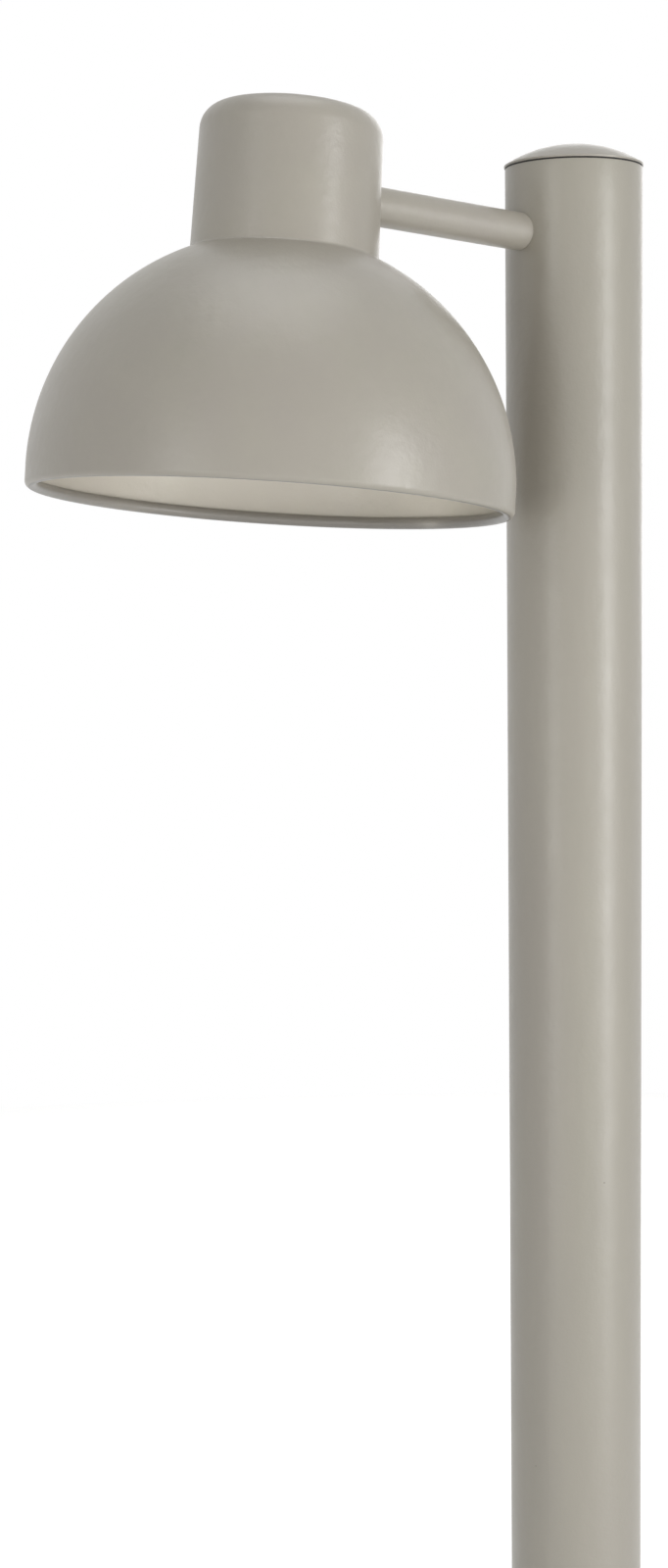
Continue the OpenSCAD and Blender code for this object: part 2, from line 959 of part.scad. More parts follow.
module glass_jar() {
    bead_r = 1.5;
    color("lightblue", 0.4)
        at_head()
            rotate_extrude()
                difference() {
                    union() {
                        jar_outline(jar_r, jar_corner, jar_floor_z - jar_wall, jar_top_z);
                        translate([0, jar_neck_z])
                            square([jar_neck_r, jar_top_z - jar_neck_z]);
                        for (z = [jar_neck_z + bead_r, jar_top_z - 2 * bead_r])
                            translate([jar_neck_r - bead_r / 2, z])
                                circle(r = bead_r);
                    }
                    jar_outline(jar_r - jar_wall, jar_corner - jar_wall, jar_floor_z, jar_top_z + past);
                }
}

module bulb() {
    globe_z = bulb_end_z + bulb_r;
    meet = 35;
    pip_r = 4.5;
    pip_height = 3;
    color("white")
        at_head() {
            translate([0, 0, globe_z])
                sphere(r = bulb_r);
            rotate_extrude()
                polygon([
                    [0, bulb_tip_z],
                    [pip_r, bulb_tip_z],
                    [bulb_cap_r, bulb_tip_z - pip_height],
                    [bulb_cap_r, bulb_cap_z],
                    [bulb_r * cos(meet), globe_z + bulb_r * sin(meet)],
                    [0, globe_z]
                ]);
        }
}

// Direction of the lead at point i of its route, in the plane y = 0
function lead_heading(i) =
    let (last = len(lead_route) - 1,
         step = lead_route[min(i + 1, last)] - lead_route[max(i - 1, 0)])
    step / norm(step);

function lead_ring(i) = [
    for (k = [0 : lead_sides - 1])
        let (angle = k * 360 / lead_sides, heading = lead_heading(i))
        lead_route[i] + lead_dia / 2
            * [cos(angle) * heading[2], sin(angle), -cos(angle) * heading[0]]
];

module lamp_lead() {
    count = len(lead_route);
    rings = [for (i = [0 : count - 1]) each lead_ring(i)];
    walls = [
        for (i = [0 : count - 2])
            for (k = [0 : lead_sides - 1])
                let (a = i * lead_sides + k, b = i * lead_sides + (k + 1) % lead_sides)
                each [[a, b, b + lead_sides], [a, b + lead_sides, a + lead_sides]]
    ];
    start = [for (k = [lead_sides - 1 : -1 : 0]) k];
    end = [for (k = [0 : lead_sides - 1]) (count - 1) * lead_sides + k];
    color("white")
        translate([0, 0, arm_z])
            polyhedron(points = rings, faces = concat(walls, [start, end]));
}

base_plate();
base_weld();
pole_tube();
pole_cap();
cap_seal();
cap_o_ring();
arm_tube();
arm_insert_pole();
arm_insert_head();
pole_nipple();
pole_saddle();
pole_washer();
pole_nut();
terminal_strip();
terminal_block();
terminal_inserts();
terminal_screws();
block_screws();
cable_clamp();
clamp_screws();
earth_screw();
earth_washer();
shade();
neck_saddle();
head_nipple();
head_washer();
head_nut();
lamp_bracket();
holder_nipple();
holder_nut();
lampholder();
holder_shell();
holder_contact();
glass_collar();
collar_ring();
jar_seal();
glass_jar();
bulb();
lamp_lead();
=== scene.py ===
"""Looks of the garden post light: its turned skins, its finishes, its camera and its studio.

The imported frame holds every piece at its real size, in metres, with the post on the Z axis and
the shade towards -X. The pieces made here are the turned metal and glass parts that the eye sees,
at a finer mesh than the frame's, and each replaces its own frame node in the same place.
"""
import logging
import math
from dataclasses import dataclass, field
from enum import Enum
from typing import Iterable, Sequence

import bpy
from mathutils import Matrix, Vector


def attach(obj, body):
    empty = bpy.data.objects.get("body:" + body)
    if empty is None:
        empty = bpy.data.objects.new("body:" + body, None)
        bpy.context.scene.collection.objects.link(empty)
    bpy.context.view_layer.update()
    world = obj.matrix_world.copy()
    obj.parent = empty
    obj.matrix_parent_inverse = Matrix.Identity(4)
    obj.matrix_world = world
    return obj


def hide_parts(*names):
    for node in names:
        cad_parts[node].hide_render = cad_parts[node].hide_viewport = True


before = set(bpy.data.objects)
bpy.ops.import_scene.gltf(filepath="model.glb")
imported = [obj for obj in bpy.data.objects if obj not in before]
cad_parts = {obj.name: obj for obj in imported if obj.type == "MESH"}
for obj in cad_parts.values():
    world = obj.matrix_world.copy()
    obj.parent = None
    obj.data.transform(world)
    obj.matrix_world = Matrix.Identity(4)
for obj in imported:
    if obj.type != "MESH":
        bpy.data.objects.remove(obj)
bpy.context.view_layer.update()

LOG = logging.getLogger("post_light")
MM = 0.001
HOLE_STEPS = 48
WHITE = (1.0, 1.0, 1.0, 1.0)

Pair = tuple[float, float]
Triple = tuple[float, float, float]
Profile = list[Pair]
Piece = bpy.types.Object
Material = bpy.types.Material
Socket = bpy.types.NodeSocket
Tree = bpy.types.NodeTree


class Corner(Enum):
    """How a turned piece's edges are shaded: the angle past which an edge stays crisp."""

    SOFT = math.radians(60)
    CRISP = math.radians(30)


@dataclass(frozen=True)
class Axis:
    """A turning axis in the plane y = 0, with its own upward direction and its radial direction.

    Args:
        origin: The point on the axis that local height 0 stands for.
        lean: Angle in radians by which the axis leans towards +X.
    """

    origin: Vector
    lean: float = 0.0

    @property
    def up(self) -> Vector:
        """Direction of the axis."""
        return Vector((math.sin(self.lean), 0.0, math.cos(self.lean)))

    @property
    def out(self) -> Vector:
        """Direction in which radii are drawn."""
        return Vector((math.cos(self.lean), 0.0, -math.sin(self.lean)))

    def point(self, radius: float, height: float) -> Vector:
        """Place of a profile point in the frame."""
        return self.origin + self.out * radius + self.up * height


def arc(centre: Pair, radius: float, start: float, end: float, steps: int) -> Profile:
    """Points on an arc of a profile.

    Args:
        centre: Radius and height of the arc's centre.
        radius: Radius of the arc.
        start: Angle of its first point in degrees, counted from the radial direction upwards.
        end: Angle of its last point in degrees.
        steps: Number of segments.

    Returns:
        The points from start to end, both included.
    """
    turns = [math.radians(start + (end - start) * i / steps) for i in range(steps + 1)]
    return [(centre[0] + radius * math.cos(t), centre[1] + radius * math.sin(t)) for t in turns]


def line(start: Pair, end: Pair, steps: int) -> Profile:
    """Points on a straight stretch of a profile, both ends included."""
    shares = [i / steps for i in range(steps + 1)]
    return [(start[0] + (end[0] - start[0]) * s, start[1] + (end[1] - start[1]) * s) for s in shares]


def without_repeats(profile: Iterable[Pair], least: float = 2e-6) -> Profile:
    """The profile without points that lie on the one before.

    Args:
        profile: The points.
        least: Least distance between two points.

    Returns:
        The kept points.
    """
    kept: Profile = []
    for point in profile:
        if not kept or math.dist(point, kept[-1]) > least:
            kept.append(point)
    return kept


def deselect_all() -> None:
    """Deselects every object, so that the next operator acts on its own piece alone."""
    if bpy.context.object and bpy.context.object.mode != "OBJECT":
        bpy.ops.object.mode_set(mode="OBJECT")
    bpy.ops.object.select_all(action="DESELECT")


def select_only(piece: Piece) -> None:
    """Makes a piece the only selected and active object.

    Args:
        piece: The piece.
    """
    deselect_all()
    piece.select_set(True)
    bpy.context.view_layer.objects.active = piece


def turn_piece(name: str, axis: Axis, profile: Profile, steps: int, closed: bool = True,
               corner: Corner = Corner.CRISP) -> Piece:
    """Turns a profile about an axis, as on a lathe: a point is drawn along it and then spun.

    Args:
        name: Name of the piece.
        axis: Axis that it is turned about.
        profile: Radius and height of each point of the section.
        steps: Number of steps in a full turn.
        closed: Whether the section's last point joins its first.
        corner: How its edges are shaded.

    Returns:
        The piece, with its place in its mesh and its faces outwards.
    """
    points = [axis.point(r, z) for r, z in without_repeats(profile)]
    if closed:
        points.append(points[0])
    deselect_all()
    bpy.ops.mesh.primitive_plane_add(size=MM, location=(0, 0, 0))
    piece = bpy.context.object
    piece.name = piece.data.name = name
    bpy.ops.object.mode_set(mode="EDIT")
    bpy.ops.mesh.select_mode(type="VERT")
    bpy.ops.mesh.select_all(action="SELECT")
    bpy.ops.mesh.merge(type="CENTER")
    bpy.ops.transform.translate(value=points[0])
    for before, after in zip(points, points[1:]):
        bpy.ops.mesh.extrude_region_move(TRANSFORM_OT_translate={"value": after - before})
    bpy.ops.mesh.select_all(action="SELECT")
    bpy.ops.mesh.spin(steps=steps, angle=math.tau, center=axis.origin, axis=axis.up)
    bpy.ops.mesh.select_all(action="SELECT")
    bpy.ops.mesh.remove_doubles(threshold=1e-6)
    bpy.ops.mesh.normals_make_consistent(inside=False)
    bpy.ops.object.mode_set(mode="OBJECT")
    bpy.ops.object.shade_smooth_by_angle(angle=corner.value)
    return piece


def drill(piece: Piece, start: Vector, end: Vector, radius: float) -> None:
    """Drills a round hole through a closed piece.

    Args:
        piece: The piece.
        start: One end of the hole's axis, clear of the piece.
        end: The other end.
        radius: Radius of the hole.
    """
    deselect_all()
    along = end - start
    bpy.ops.mesh.primitive_cylinder_add(vertices=HOLE_STEPS, radius=radius, depth=along.length,
                                        location=(start + end) / 2,
                                        rotation=along.to_track_quat("Z", "Y").to_euler())
    bit = bpy.context.object
    select_only(piece)
    cut = piece.modifiers.new("cut", "BOOLEAN")
    cut.operation = "DIFFERENCE"
    cut.solver = "EXACT"
    cut.object = bit
    bpy.ops.object.modifier_apply(modifier=cut.name)
    select_only(bit)
    bpy.ops.object.delete()
    select_only(piece)
    bpy.ops.object.shade_smooth_by_angle(angle=Corner.CRISP.value)


def push_out(piece: Piece, chosen: Sequence[int], centre: Vector, factor: Triple) -> None:
    """Scales some of a piece's points about a centre, in edit mode.

    Args:
        piece: The piece.
        chosen: Indices of the points.
        centre: Point that they are scaled about.
        factor: Scale along X, Y and Z.
    """
    select_only(piece)
    bpy.ops.object.mode_set(mode="EDIT")
    bpy.ops.mesh.select_mode(type="VERT")
    bpy.ops.mesh.select_all(action="DESELECT")
    bpy.ops.object.mode_set(mode="OBJECT")
    for index in chosen:
        piece.data.vertices[index].select = True
    bpy.ops.object.mode_set(mode="EDIT")
    bpy.ops.transform.resize(value=factor, center_override=centre)
    bpy.ops.object.mode_set(mode="OBJECT")


def add_node(tree: Tree, kind: str, **settings: object) -> bpy.types.Node:
    """Adds a node to a tree and sets its properties by name.

    Args:
        tree: The tree.
        kind: Type of the node.
        settings: Values of its properties.

    Returns:
        The node.
    """
    made = tree.nodes.new(kind)
    for key, value in settings.items():
        setattr(made, key, value)
    return made


def feed(tree: Tree, target: Socket, source: Socket | float | Sequence[float]) -> None:
    """Links a source to a node's input, or sets the input's own value.

    Args:
        tree: Tree that the input is in.
        target: The input.
        source: An output to link, or the input's own value.
    """
    if isinstance(source, Socket):
        tree.links.new(source, target)
    else:
        target.default_value = source


def compute(tree: Tree, operation: str, *terms: Socket | float, clamp: bool = False) -> Socket:
    """Result of a Math node on sockets or numbers.

    Args:
        tree: Tree that the node goes into.
        operation: Its operation.
        terms: What its inputs are fed with, in order.
        clamp: Whether the result is kept between 0 and 1.

    Returns:
        The node's output.
    """
    made = add_node(tree, "ShaderNodeMath", operation=operation, use_clamp=clamp)
    for target, term in zip(made.inputs, terms):
        feed(tree, target, term)
    return made.outputs[0]


def ramp(tree: Tree, source: Socket, start: float, end: float, low: float = 0.0,
         high: float = 1.0) -> Socket:
    """Value that goes from low to high while a source goes from start to end.

    Args:
        tree: Tree that the node goes into.
        source: The source.
        start: The source at which the result is low.
        end: The source at which it is high.
        low: First value.
        high: Last value.

    Returns:
        The node's output.
    """
    made = add_node(tree, "ShaderNodeMapRange")
    settings = {"Value": source, "From Min": start, "From Max": end, "To Min": low, "To Max": high}
    for key, value in settings.items():
        feed(tree, made.inputs[key], value)
    return made.outputs["Result"]


def radius_and_height(tree: Tree, place: Socket) -> tuple[Socket, Socket]:
    """Distance of a place from the Z axis, and its height along it.

    Args:
        tree: Tree that the nodes go into.
        place: The place.

    Returns:
        The distance and the height.
    """
    apart = add_node(tree, "ShaderNodeSeparateXYZ")
    feed(tree, apart.inputs["Vector"], place)
    flat = add_node(tree, "ShaderNodeCombineXYZ")
    feed(tree, flat.inputs["X"], apart.outputs["X"])
    feed(tree, flat.inputs["Y"], apart.outputs["Y"])
    away = add_node(tree, "ShaderNodeVectorMath", operation="LENGTH")
    feed(tree, away.inputs[0], flat.outputs["Vector"])
    return away.outputs["Value"], apart.outputs["Z"]


def srgb(red: int, green: int, blue: int) -> Triple:
    """Linear colour of an 8-bit screen colour."""
    shares = (level / 255 for level in (red, green, blue))
    return tuple(s / 12.92 if s <= 0.04045 else ((s + 0.055) / 1.055) ** 2.4 for s in shares)


class Shader:
    """A material under construction, with short ways to add and link its nodes.

    Args:
        name: Name of the material.
    """

    def __init__(self, name: str) -> None:
        """Starts an empty node material with a Principled BSDF and its output.

        Args:
            name: Name of the material.
        """
        self.material = bpy.data.materials.new(name)
        self.material.use_nodes = True
        self.tree = self.material.node_tree
        self.surface = self.tree.nodes["Principled BSDF"]

    def set(self, **inputs: Socket | float | Sequence[float]) -> None:
        """Feeds the surface's inputs, which are named by their labels in lower case.

        Args:
            inputs: Sockets or values by label.
        """
        for key, value in inputs.items():
            label = key.replace("_", " ").title().replace("Ior", "IOR")
            feed(self.tree, self.surface.inputs[label], value)

    def place(self) -> Socket:
        """The point's place in the frame."""
        return add_node(self.tree, "ShaderNodeTexCoord").outputs["Object"]

    def group(self, group: Tree, vector: Socket, **inputs: float | Triple) -> Socket:
        """Places a node group on a vector with its own input values.

        Args:
            group: The group.
            vector: The vector.
            inputs: Its other inputs by label.

        Returns:
            The group's output.
        """
        made = add_node(self.tree, "ShaderNodeGroup", node_tree=group)
        feed(self.tree, made.inputs["Vector"], vector)
        for key, value in inputs.items():
            made.inputs[key.title()].default_value = value
        return made.outputs[0]

    def cloud(self, groups: "NodeGroups", vector: Socket, size: float, contrast: float) -> Socket:
        """Places the cloud group on a vector."""
        return self.group(groups.cloud, vector, size=size, contrast=contrast)

    def blend(self, mask: Socket, low: Socket | Triple, high: Triple) -> Socket:
        """Colour that goes from low, a colour or another blend, to high with a mask.

        Args:
            mask: The mask.
            low: Colour where it is 0.
            high: Colour where it is 1.

        Returns:
            The colour.
        """
        mix = add_node(self.tree, "ShaderNodeMix", data_type="RGBA")
        feed(self.tree, mix.inputs["A"], low if isinstance(low, Socket) else (*low, 1.0))
        feed(self.tree, mix.inputs["B"], (*high, 1.0))
        feed(self.tree, mix.inputs["Factor"], mask)
        return mix.outputs["Result"]

    def spread(self, mask: Socket, low: float, high: float) -> Socket:
        """Value that goes from low to high with a mask."""
        return ramp(self.tree, mask, 0.0, 1.0, low, high)

    def relief(self, height: Socket, distance: float) -> None:
        """Feeds a height into the surface's normal.

        Args:
            height: The height, from 0 to 1.
            distance: Height that 1 stands for.
        """
        bump = add_node(self.tree, "ShaderNodeBump")
        bump.inputs["Distance"].default_value = distance
        feed(self.tree, bump.inputs["Height"], height)
        self.set(normal=bump.outputs["Normal"])


class NodeGroups:
    """The effects that several finishes share, each built once as a node group."""

    def __init__(self) -> None:
        """Builds every group."""
        self.cloud = self._cloud()
        self.grain = self._grain()
        self.rings = self._rings()
        self.chip = self._chip()

    @staticmethod
    def _begin(name: str, inputs: dict[str, float | Triple], output: str) -> tuple:
        """Makes a group with a vector input, inputs of its own and one value output.

        Args:
            name: Name of the group.
            inputs: Default of each of its own inputs, a value or a vector.
            output: Name of the output.

        Returns:
            The tree, its input node and its output's socket.
        """
        tree = bpy.data.node_groups.new(name, "ShaderNodeTree")
        tree.interface.new_socket("Vector", in_out="INPUT", socket_type="NodeSocketVector")
        for key, value in inputs.items():
            kind = "NodeSocketVector" if isinstance(value, tuple) else "NodeSocketFloat"
            tree.interface.new_socket(key, in_out="INPUT", socket_type=kind).default_value = value
        tree.interface.new_socket(output, in_out="OUTPUT", socket_type="NodeSocketFloat")
        begin = add_node(tree, "NodeGroupInput")
        return tree, begin, add_node(tree, "NodeGroupOutput").inputs[output]

    @staticmethod
    def _noise(tree: Tree, vector: Socket, scale: Socket | float, detail: float,
               roughness: float = 0.5) -> Socket:
        """Noise of a scale in a group, from 0 to 1.

        Args:
            tree: The group's tree.
            vector: Place that it is read at.
            scale: Its scale.
            detail: Its octaves.
            roughness: Strength of its finer octaves.

        Returns:
            The noise.
        """
        noise = add_node(tree, "ShaderNodeTexNoise")
        settings = {"Vector": vector, "Scale": scale, "Detail": detail, "Roughness": roughness}
        for key, value in settings.items():
            feed(tree, noise.inputs[key], value)
        return noise.outputs["Fac"]

    def _cloud(self) -> Tree:
        """Soft blotches of two sizes, as in a coat of powder paint: output Mask from 0 to 1.

        Returns:
            The group's tree.
        """
        finer, share = 5.3, 0.4
        tree, begin, end = self._begin("paint_cloud", {"Size": 0.05, "Contrast": 1.0}, "Mask")
        scale = compute(tree, "DIVIDE", 1.0, begin.outputs["Size"])
        mix = add_node(tree, "ShaderNodeMix")
        feed(tree, mix.inputs["Factor"], share)
        feed(tree, mix.inputs["A"], self._noise(tree, begin.outputs["Vector"], scale, 2.0))
        small = compute(tree, "MULTIPLY", scale, finer)
        feed(tree, mix.inputs["B"], self._noise(tree, begin.outputs["Vector"], small, 3.0, 0.6))
        centred = compute(tree, "SUBTRACT", mix.outputs["Result"], 0.5)
        feed(tree, end, compute(tree, "MULTIPLY_ADD", centred, begin.outputs["Contrast"], 0.5, clamp=True))
        return tree

    def _grain(self) -> Tree:
        """Fine orange-peel grain: output Height from 0 to 1.

        Returns:
            The group's tree.
        """
        tree, begin, end = self._begin("fine_grain", {"Scale": 900.0}, "Height")
        feed(tree, end, self._noise(tree, begin.outputs["Vector"], begin.outputs["Scale"], 2.0))
        return tree

    def _rings(self) -> Tree:
        """Fine rings left by a lathe about the local Z axis: output Height from 0 to 1.

        Returns:
            The group's tree.
        """
        tree, begin, end = self._begin("lathe_rings", {"Scale": 260.0}, "Height")
        radius, height = radius_and_height(tree, begin.outputs["Vector"])
        section = add_node(tree, "ShaderNodeCombineXYZ")
        feed(tree, section.inputs["X"], radius)
        feed(tree, section.inputs["Z"], height)
        feed(tree, end, self._noise(tree, section.outputs["Vector"], begin.outputs["Scale"], 3.0, 0.6))
        return tree

    def _chip(self) -> Tree:
        """A small ragged speck at one place: output Mask, 1 inside the speck.

        Returns:
            The group's tree.
        """
        ragged_scale, outer, inner = 2400.0, 1.3, 0.8
        tree, begin, end = self._begin("paint_chip", {"Radius": 0.0006, "Place": (0.0, 0.0, 0.0)}, "Mask")
        away = add_node(tree, "ShaderNodeVectorMath", operation="DISTANCE")
        feed(tree, away.inputs[0], begin.outputs["Vector"])
        feed(tree, away.inputs[1], begin.outputs["Place"])
        ragged = self._noise(tree, begin.outputs["Vector"], ragged_scale, 2.0)
        edge = compute(tree, "MULTIPLY", ragged, begin.outputs["Radius"])
        reach = compute(tree, "ADD", away.outputs["Value"], edge)
        share = compute(tree, "DIVIDE", reach, begin.outputs["Radius"])
        feed(tree, end, ramp(tree, share, outer, inner))
        return tree


@dataclass(frozen=True)
class Chip:
    """A speck where the paint is gone or dirty: its place in metres, its radius and its tone."""

    place: Triple
    radius: float
    tone: Triple


@dataclass(frozen=True)
class Paint:
    """Satin powder coat over worked metal.

    Its tone drifts in soft clouds between two olive greys and a mauve grey, its sheen is blotchy,
    and the marks of drawing or spinning show faintly through it.

    Args:
        name: Name of the material.
        dark: Darker olive grey.
        light: Lighter olive grey.
        mauve: Mauve grey that the tone drifts to in wide patches.
        stretch: Scale of the clouds along X, Y and Z, where less is longer.
        turned_at: Place and lean of the axis that the metal was turned about, or None if it was drawn.
        hem_shade_edge: Radius and height on that axis within which the hem's inner curl gets painted shade,
            a darker tone standing in for its shadow, or None.
        hem_shade_tone: Tone of that painted shade.
        chips: Specks in the coat.
        rough: Least and greatest roughness.
        gloss: Level of the coat's mirror reflection.
        tone_cloud: Size and contrast of the clouds from dark to light.
        drift_cloud: Size and contrast of the patches of mauve.
        sheen_cloud: Size and contrast of the blotches in roughness and height.
        wave: Depth of the coat's waviness.
        peel: Scale of the orange peel and its depth as a share of the waviness.
        lines: Scale of the draw lines.
        rings: Scale of the lathe rings.
        mark_share: Depth of the draw lines or lathe rings as a share of the waviness.
        fade: Distance over which the painted shade on the hem fades in.
    """

    name: str
    dark: Triple
    light: Triple
    mauve: Triple
    stretch: Triple = (1.0, 1.0, 1.0)
    turned_at: tuple[Vector, float] | None = None
    hem_shade_edge: Pair | None = None
    # Tone of the painted shade on the hem's inner curl
    hem_shade_tone: Triple = srgb(120, 116, 109)
    chips: tuple[Chip, ...] = ()
    rough: Pair = (0.33, 0.42)
    gloss: float = 0.85
    tone_cloud: Pair = (0.045, 2.2)
    drift_cloud: Pair = (0.1035, 3.0)
    sheen_cloud: Pair = (0.02475, 2.5)
    wave: float = 0.22 * MM
    peel: Pair = (1100.0, 0.04)
    lines: float = 420.0
    rings: float = 260.0
    mark_share: float = 0.09
    fade: float = 0.6 * MM

    def _own_place(self, shader: Shader) -> Socket:
        """Place of the point on the axis that the metal was turned about.

        Args:
            shader: The paint's shader.

        Returns:
            The place.
        """
        own = add_node(shader.tree, "ShaderNodeMapping", vector_type="TEXTURE")
        own.inputs["Location"].default_value = self.turned_at[0]
        own.inputs["Rotation"].default_value = (0.0, self.turned_at[1], 0.0)
        feed(shader.tree, own.inputs["Vector"], shader.place())
        return own.outputs["Vector"]

    def _hem_shade_mask(self, shader: Shader) -> Socket:
        """Mask of the painted shade on the hem: 1 nearer to the axis and lower on it than the given edge.

        Args:
            shader: The paint's shader.

        Returns:
            The mask.
        """
        place = radius_and_height(shader.tree, self._own_place(shader))
        masks = [ramp(shader.tree, source, edge + self.fade / 2, edge - self.fade / 2)
                 for source, edge in zip(place, self.hem_shade_edge)]
        return compute(shader.tree, "MULTIPLY", *masks)

    def _tone(self, shader: Shader, groups: NodeGroups, drawn: Socket) -> Socket:
        """Colour of the coat, with its drift, its chips and the painted shade on the hem's inner curl.

        Args:
            shader: The paint's shader.
            groups: The shared groups.
            drawn: Place, stretched as the clouds are.

        Returns:
            The colour.
        """
        tone = shader.blend(shader.cloud(groups, drawn, *self.tone_cloud), self.dark, self.light)
        tone = shader.blend(shader.cloud(groups, drawn, *self.drift_cloud), tone, self.mauve)
        for chip in self.chips:
            speck = shader.group(groups.chip, shader.place(), radius=chip.radius, place=chip.place)
            tone = shader.blend(speck, tone, chip.tone)
        # Painted shade: darkens the hem's inner curl where shadow falls
        if self.hem_shade_edge is not None:
            tone = shader.blend(self._hem_shade_mask(shader), tone, self.hem_shade_tone)
        return tone

    def _marks(self, shader: Shader, groups: NodeGroups, drawn: Socket) -> Socket:
        """Height of the marks that the metal's working left: lathe rings, or long draw lines.

        Args:
            shader: The paint's shader.
            groups: The shared groups.
            drawn: Place, stretched as the lines are.

        Returns:
            The height.
        """
        if self.turned_at is None:
            return shader.group(groups.grain, drawn, scale=self.lines)
        return shader.group(groups.rings, self._own_place(shader), scale=self.rings)

    def build(self, groups: NodeGroups) -> Material:
        """Makes the material.

        Args:
            groups: The shared groups.

        Returns:
            The material.
        """
        shader = Shader(self.name)
        place = shader.place()
        mapping = add_node(shader.tree, "ShaderNodeMapping")
        mapping.inputs["Scale"].default_value = self.stretch
        feed(shader.tree, mapping.inputs["Vector"], place)
        drawn = mapping.outputs["Vector"]
        patch = shader.cloud(groups, place, *self.sheen_cloud)
        scale, share = self.peel
        grain = shader.group(groups.grain, place, scale=scale)
        fine = compute(shader.tree, "MULTIPLY_ADD", grain, share, patch)
        marks = self._marks(shader, groups, drawn)
        shader.relief(compute(shader.tree, "MULTIPLY_ADD", marks, self.mark_share, fine), self.wave)
        shader.set(base_color=self._tone(shader, groups, drawn),
                   roughness=shader.spread(patch, *self.rough), specular_ior_level=self.gloss)
        return shader.material


@dataclass(frozen=True)
class Solid:
    """Plated, cast or turned metal, moulded plastic or rubber: a cloudy tone and sheen with a fine grain.

    Args:
        name: Name of the material.
        dark: Darker tone.
        light: Lighter tone.
        rough: Least and greatest roughness.
        metallic: 1 for metal and 0 for plastic.
        cloud: Size and contrast of the clouds.
        grain: Scale of the grain.
        depth: Depth of the grain.
    """

    name: str
    dark: Triple
    light: Triple
    rough: Pair
    metallic: float = 1.0
    cloud: Pair = (0.012, 2.0)
    grain: float = 1600.0
    depth: float = 0.02 * MM

    def build(self, groups: NodeGroups) -> Material:
        """Makes the material.

        Args:
            groups: The shared groups.

        Returns:
            The material.
        """
        shader = Shader(self.name)
        place = shader.place()
        cloud = shader.cloud(groups, place, *self.cloud)
        shader.set(base_color=shader.blend(cloud, self.dark, self.light),
                   roughness=shader.spread(cloud, *self.rough), metallic=self.metallic)
        shader.relief(shader.group(groups.grain, place, scale=self.grain), self.depth)
        return shader.material


def moulded(name: str, dark: Triple, light: Triple, rough: Pair) -> Solid:
    """A moulded plastic or rubber, with softer clouds and a finer grain than metal has."""
    return Solid(name, dark, light, rough, metallic=0.0, cloud=(0.015, 1.6), grain=2200.0, depth=0.01 * MM)


@dataclass(frozen=True)
class Glass:
    """Clear pressed glass with a faintly uneven surface.

    Args:
        name: Name of the material.
        dark: Darker tint.
        light: Lighter tint.
        rough: Least and greatest roughness.
        cloud: Size and contrast of the unevenness.
        depth: Depth of the unevenness.
        ior: Index of refraction.
    """

    name: str
    dark: Triple = (0.93, 0.96, 0.95)
    light: Triple = (0.98, 0.99, 0.985)
    rough: Pair = (0.02, 0.06)
    cloud: Pair = (0.02, 2.0)
    depth: float = 0.3 * MM
    ior: float = 1.5

    def build(self, groups: NodeGroups) -> Material:
        """Makes the material.

        Args:
            groups: The shared groups.

        Returns:
            The material.
        """
        shader = Shader(self.name)
        cloud = shader.cloud(groups, shader.place(), *self.cloud)
        shader.set(base_color=shader.blend(cloud, self.dark, self.light),
                   roughness=shader.spread(cloud, *self.rough), transmission_weight=1.0, ior=self.ior)
        shader.relief(cloud, self.depth)
        return shader.material


class Finishes:
    """Every finish of the light, built once and handed out by name."""

    def __init__(self, shade_axis: Axis) -> None:
        """Builds the materials.

        Args:
            shade_axis: The axis that the shade was spun about.
        """
        groups = NodeGroups()
        coat = (srgb(167, 163, 150), srgb(178, 173, 160), srgb(171, 165, 155))
        bare = srgb(96, 92, 86)
        post_chips = (Chip((-0.0072, -0.0291, 0.3947), 0.5 * MM, bare),
                      Chip((-0.0292, -0.0068, 0.2622), 0.4 * MM, bare))
        hem_chip = Chip((-0.1684, -0.0997, 0.6937), 0.7 * MM, bare)
        self.post = Paint("post_paint", *coat, stretch=(1.0, 1.0, 0.16), chips=post_chips).build(groups)
        # The shade's paint gets painted shade on its hem's inner curl, inside 98.4 mm and below -121 mm
        self.shade = Paint("shade_paint", *coat, turned_at=(shade_axis.origin, shade_axis.lean),
                           hem_shade_edge=(98.4 * MM, -121.0 * MM), chips=(hem_chip,)).build(groups)
        self.arm = Paint("arm_paint", *coat).build(groups)
        zinc = (srgb(178, 180, 184), srgb(206, 208, 210), (0.24, 0.36))
        cast = (srgb(170, 170, 168), srgb(192, 192, 189), (0.4, 0.52))
        brass = (srgb(196, 164, 92), srgb(216, 186, 112), (0.2, 0.3))
        rubber = ((0.012, 0.012, 0.012), (0.022, 0.021, 0.02), (0.6, 0.75))
        ivory = (srgb(222, 219, 208), srgb(232, 230, 220), (0.36, 0.46))
        opal = (srgb(236, 235, 228), srgb(244, 243, 238), (0.18, 0.26))
        sleeve = (srgb(206, 203, 194), srgb(218, 215, 207), (0.5, 0.6))
        self.zinc = Solid("zinc_plate", *zinc).build(groups)
        self.cast = Solid("cast_alloy", *cast, grain=700.0, depth=0.06 * MM).build(groups)
        self.brass = Solid("brass", *brass).build(groups)
        self.rubber = moulded("rubber", *rubber).build(groups)
        self.ivory = moulded("ivory_plastic", *ivory).build(groups)
        self.opal = moulded("opal_bulb", *opal).build(groups)
        self.sleeve = moulded("lead_sleeve", *sleeve).build(groups)
        self.glass = Glass("jar_glass").build(groups)


def dress_nodes(names: Iterable[str], material: Material) -> None:
    """Gives frame nodes a finish through their own material slots."""
    for slot in (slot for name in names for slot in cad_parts[name].material_slots):
        slot.material = material


def settle(piece: Piece, material: Material, slot: str, *nodes: str) -> None:
    """Finishes a new piece: its material, the nodes it replaces and the body it rides on.

    Args:
        piece: The piece.
        material: Its finish.
        slot: Not used.
        nodes: The nodes it replaces.
    """
    piece.data.materials.clear()
    piece.data.materials.append(material)
    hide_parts(*nodes)
    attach(piece, "root")
    LOG.info("%s: %d faces, for %s", piece.name, len(piece.data.polygons), ", ".join(nodes))


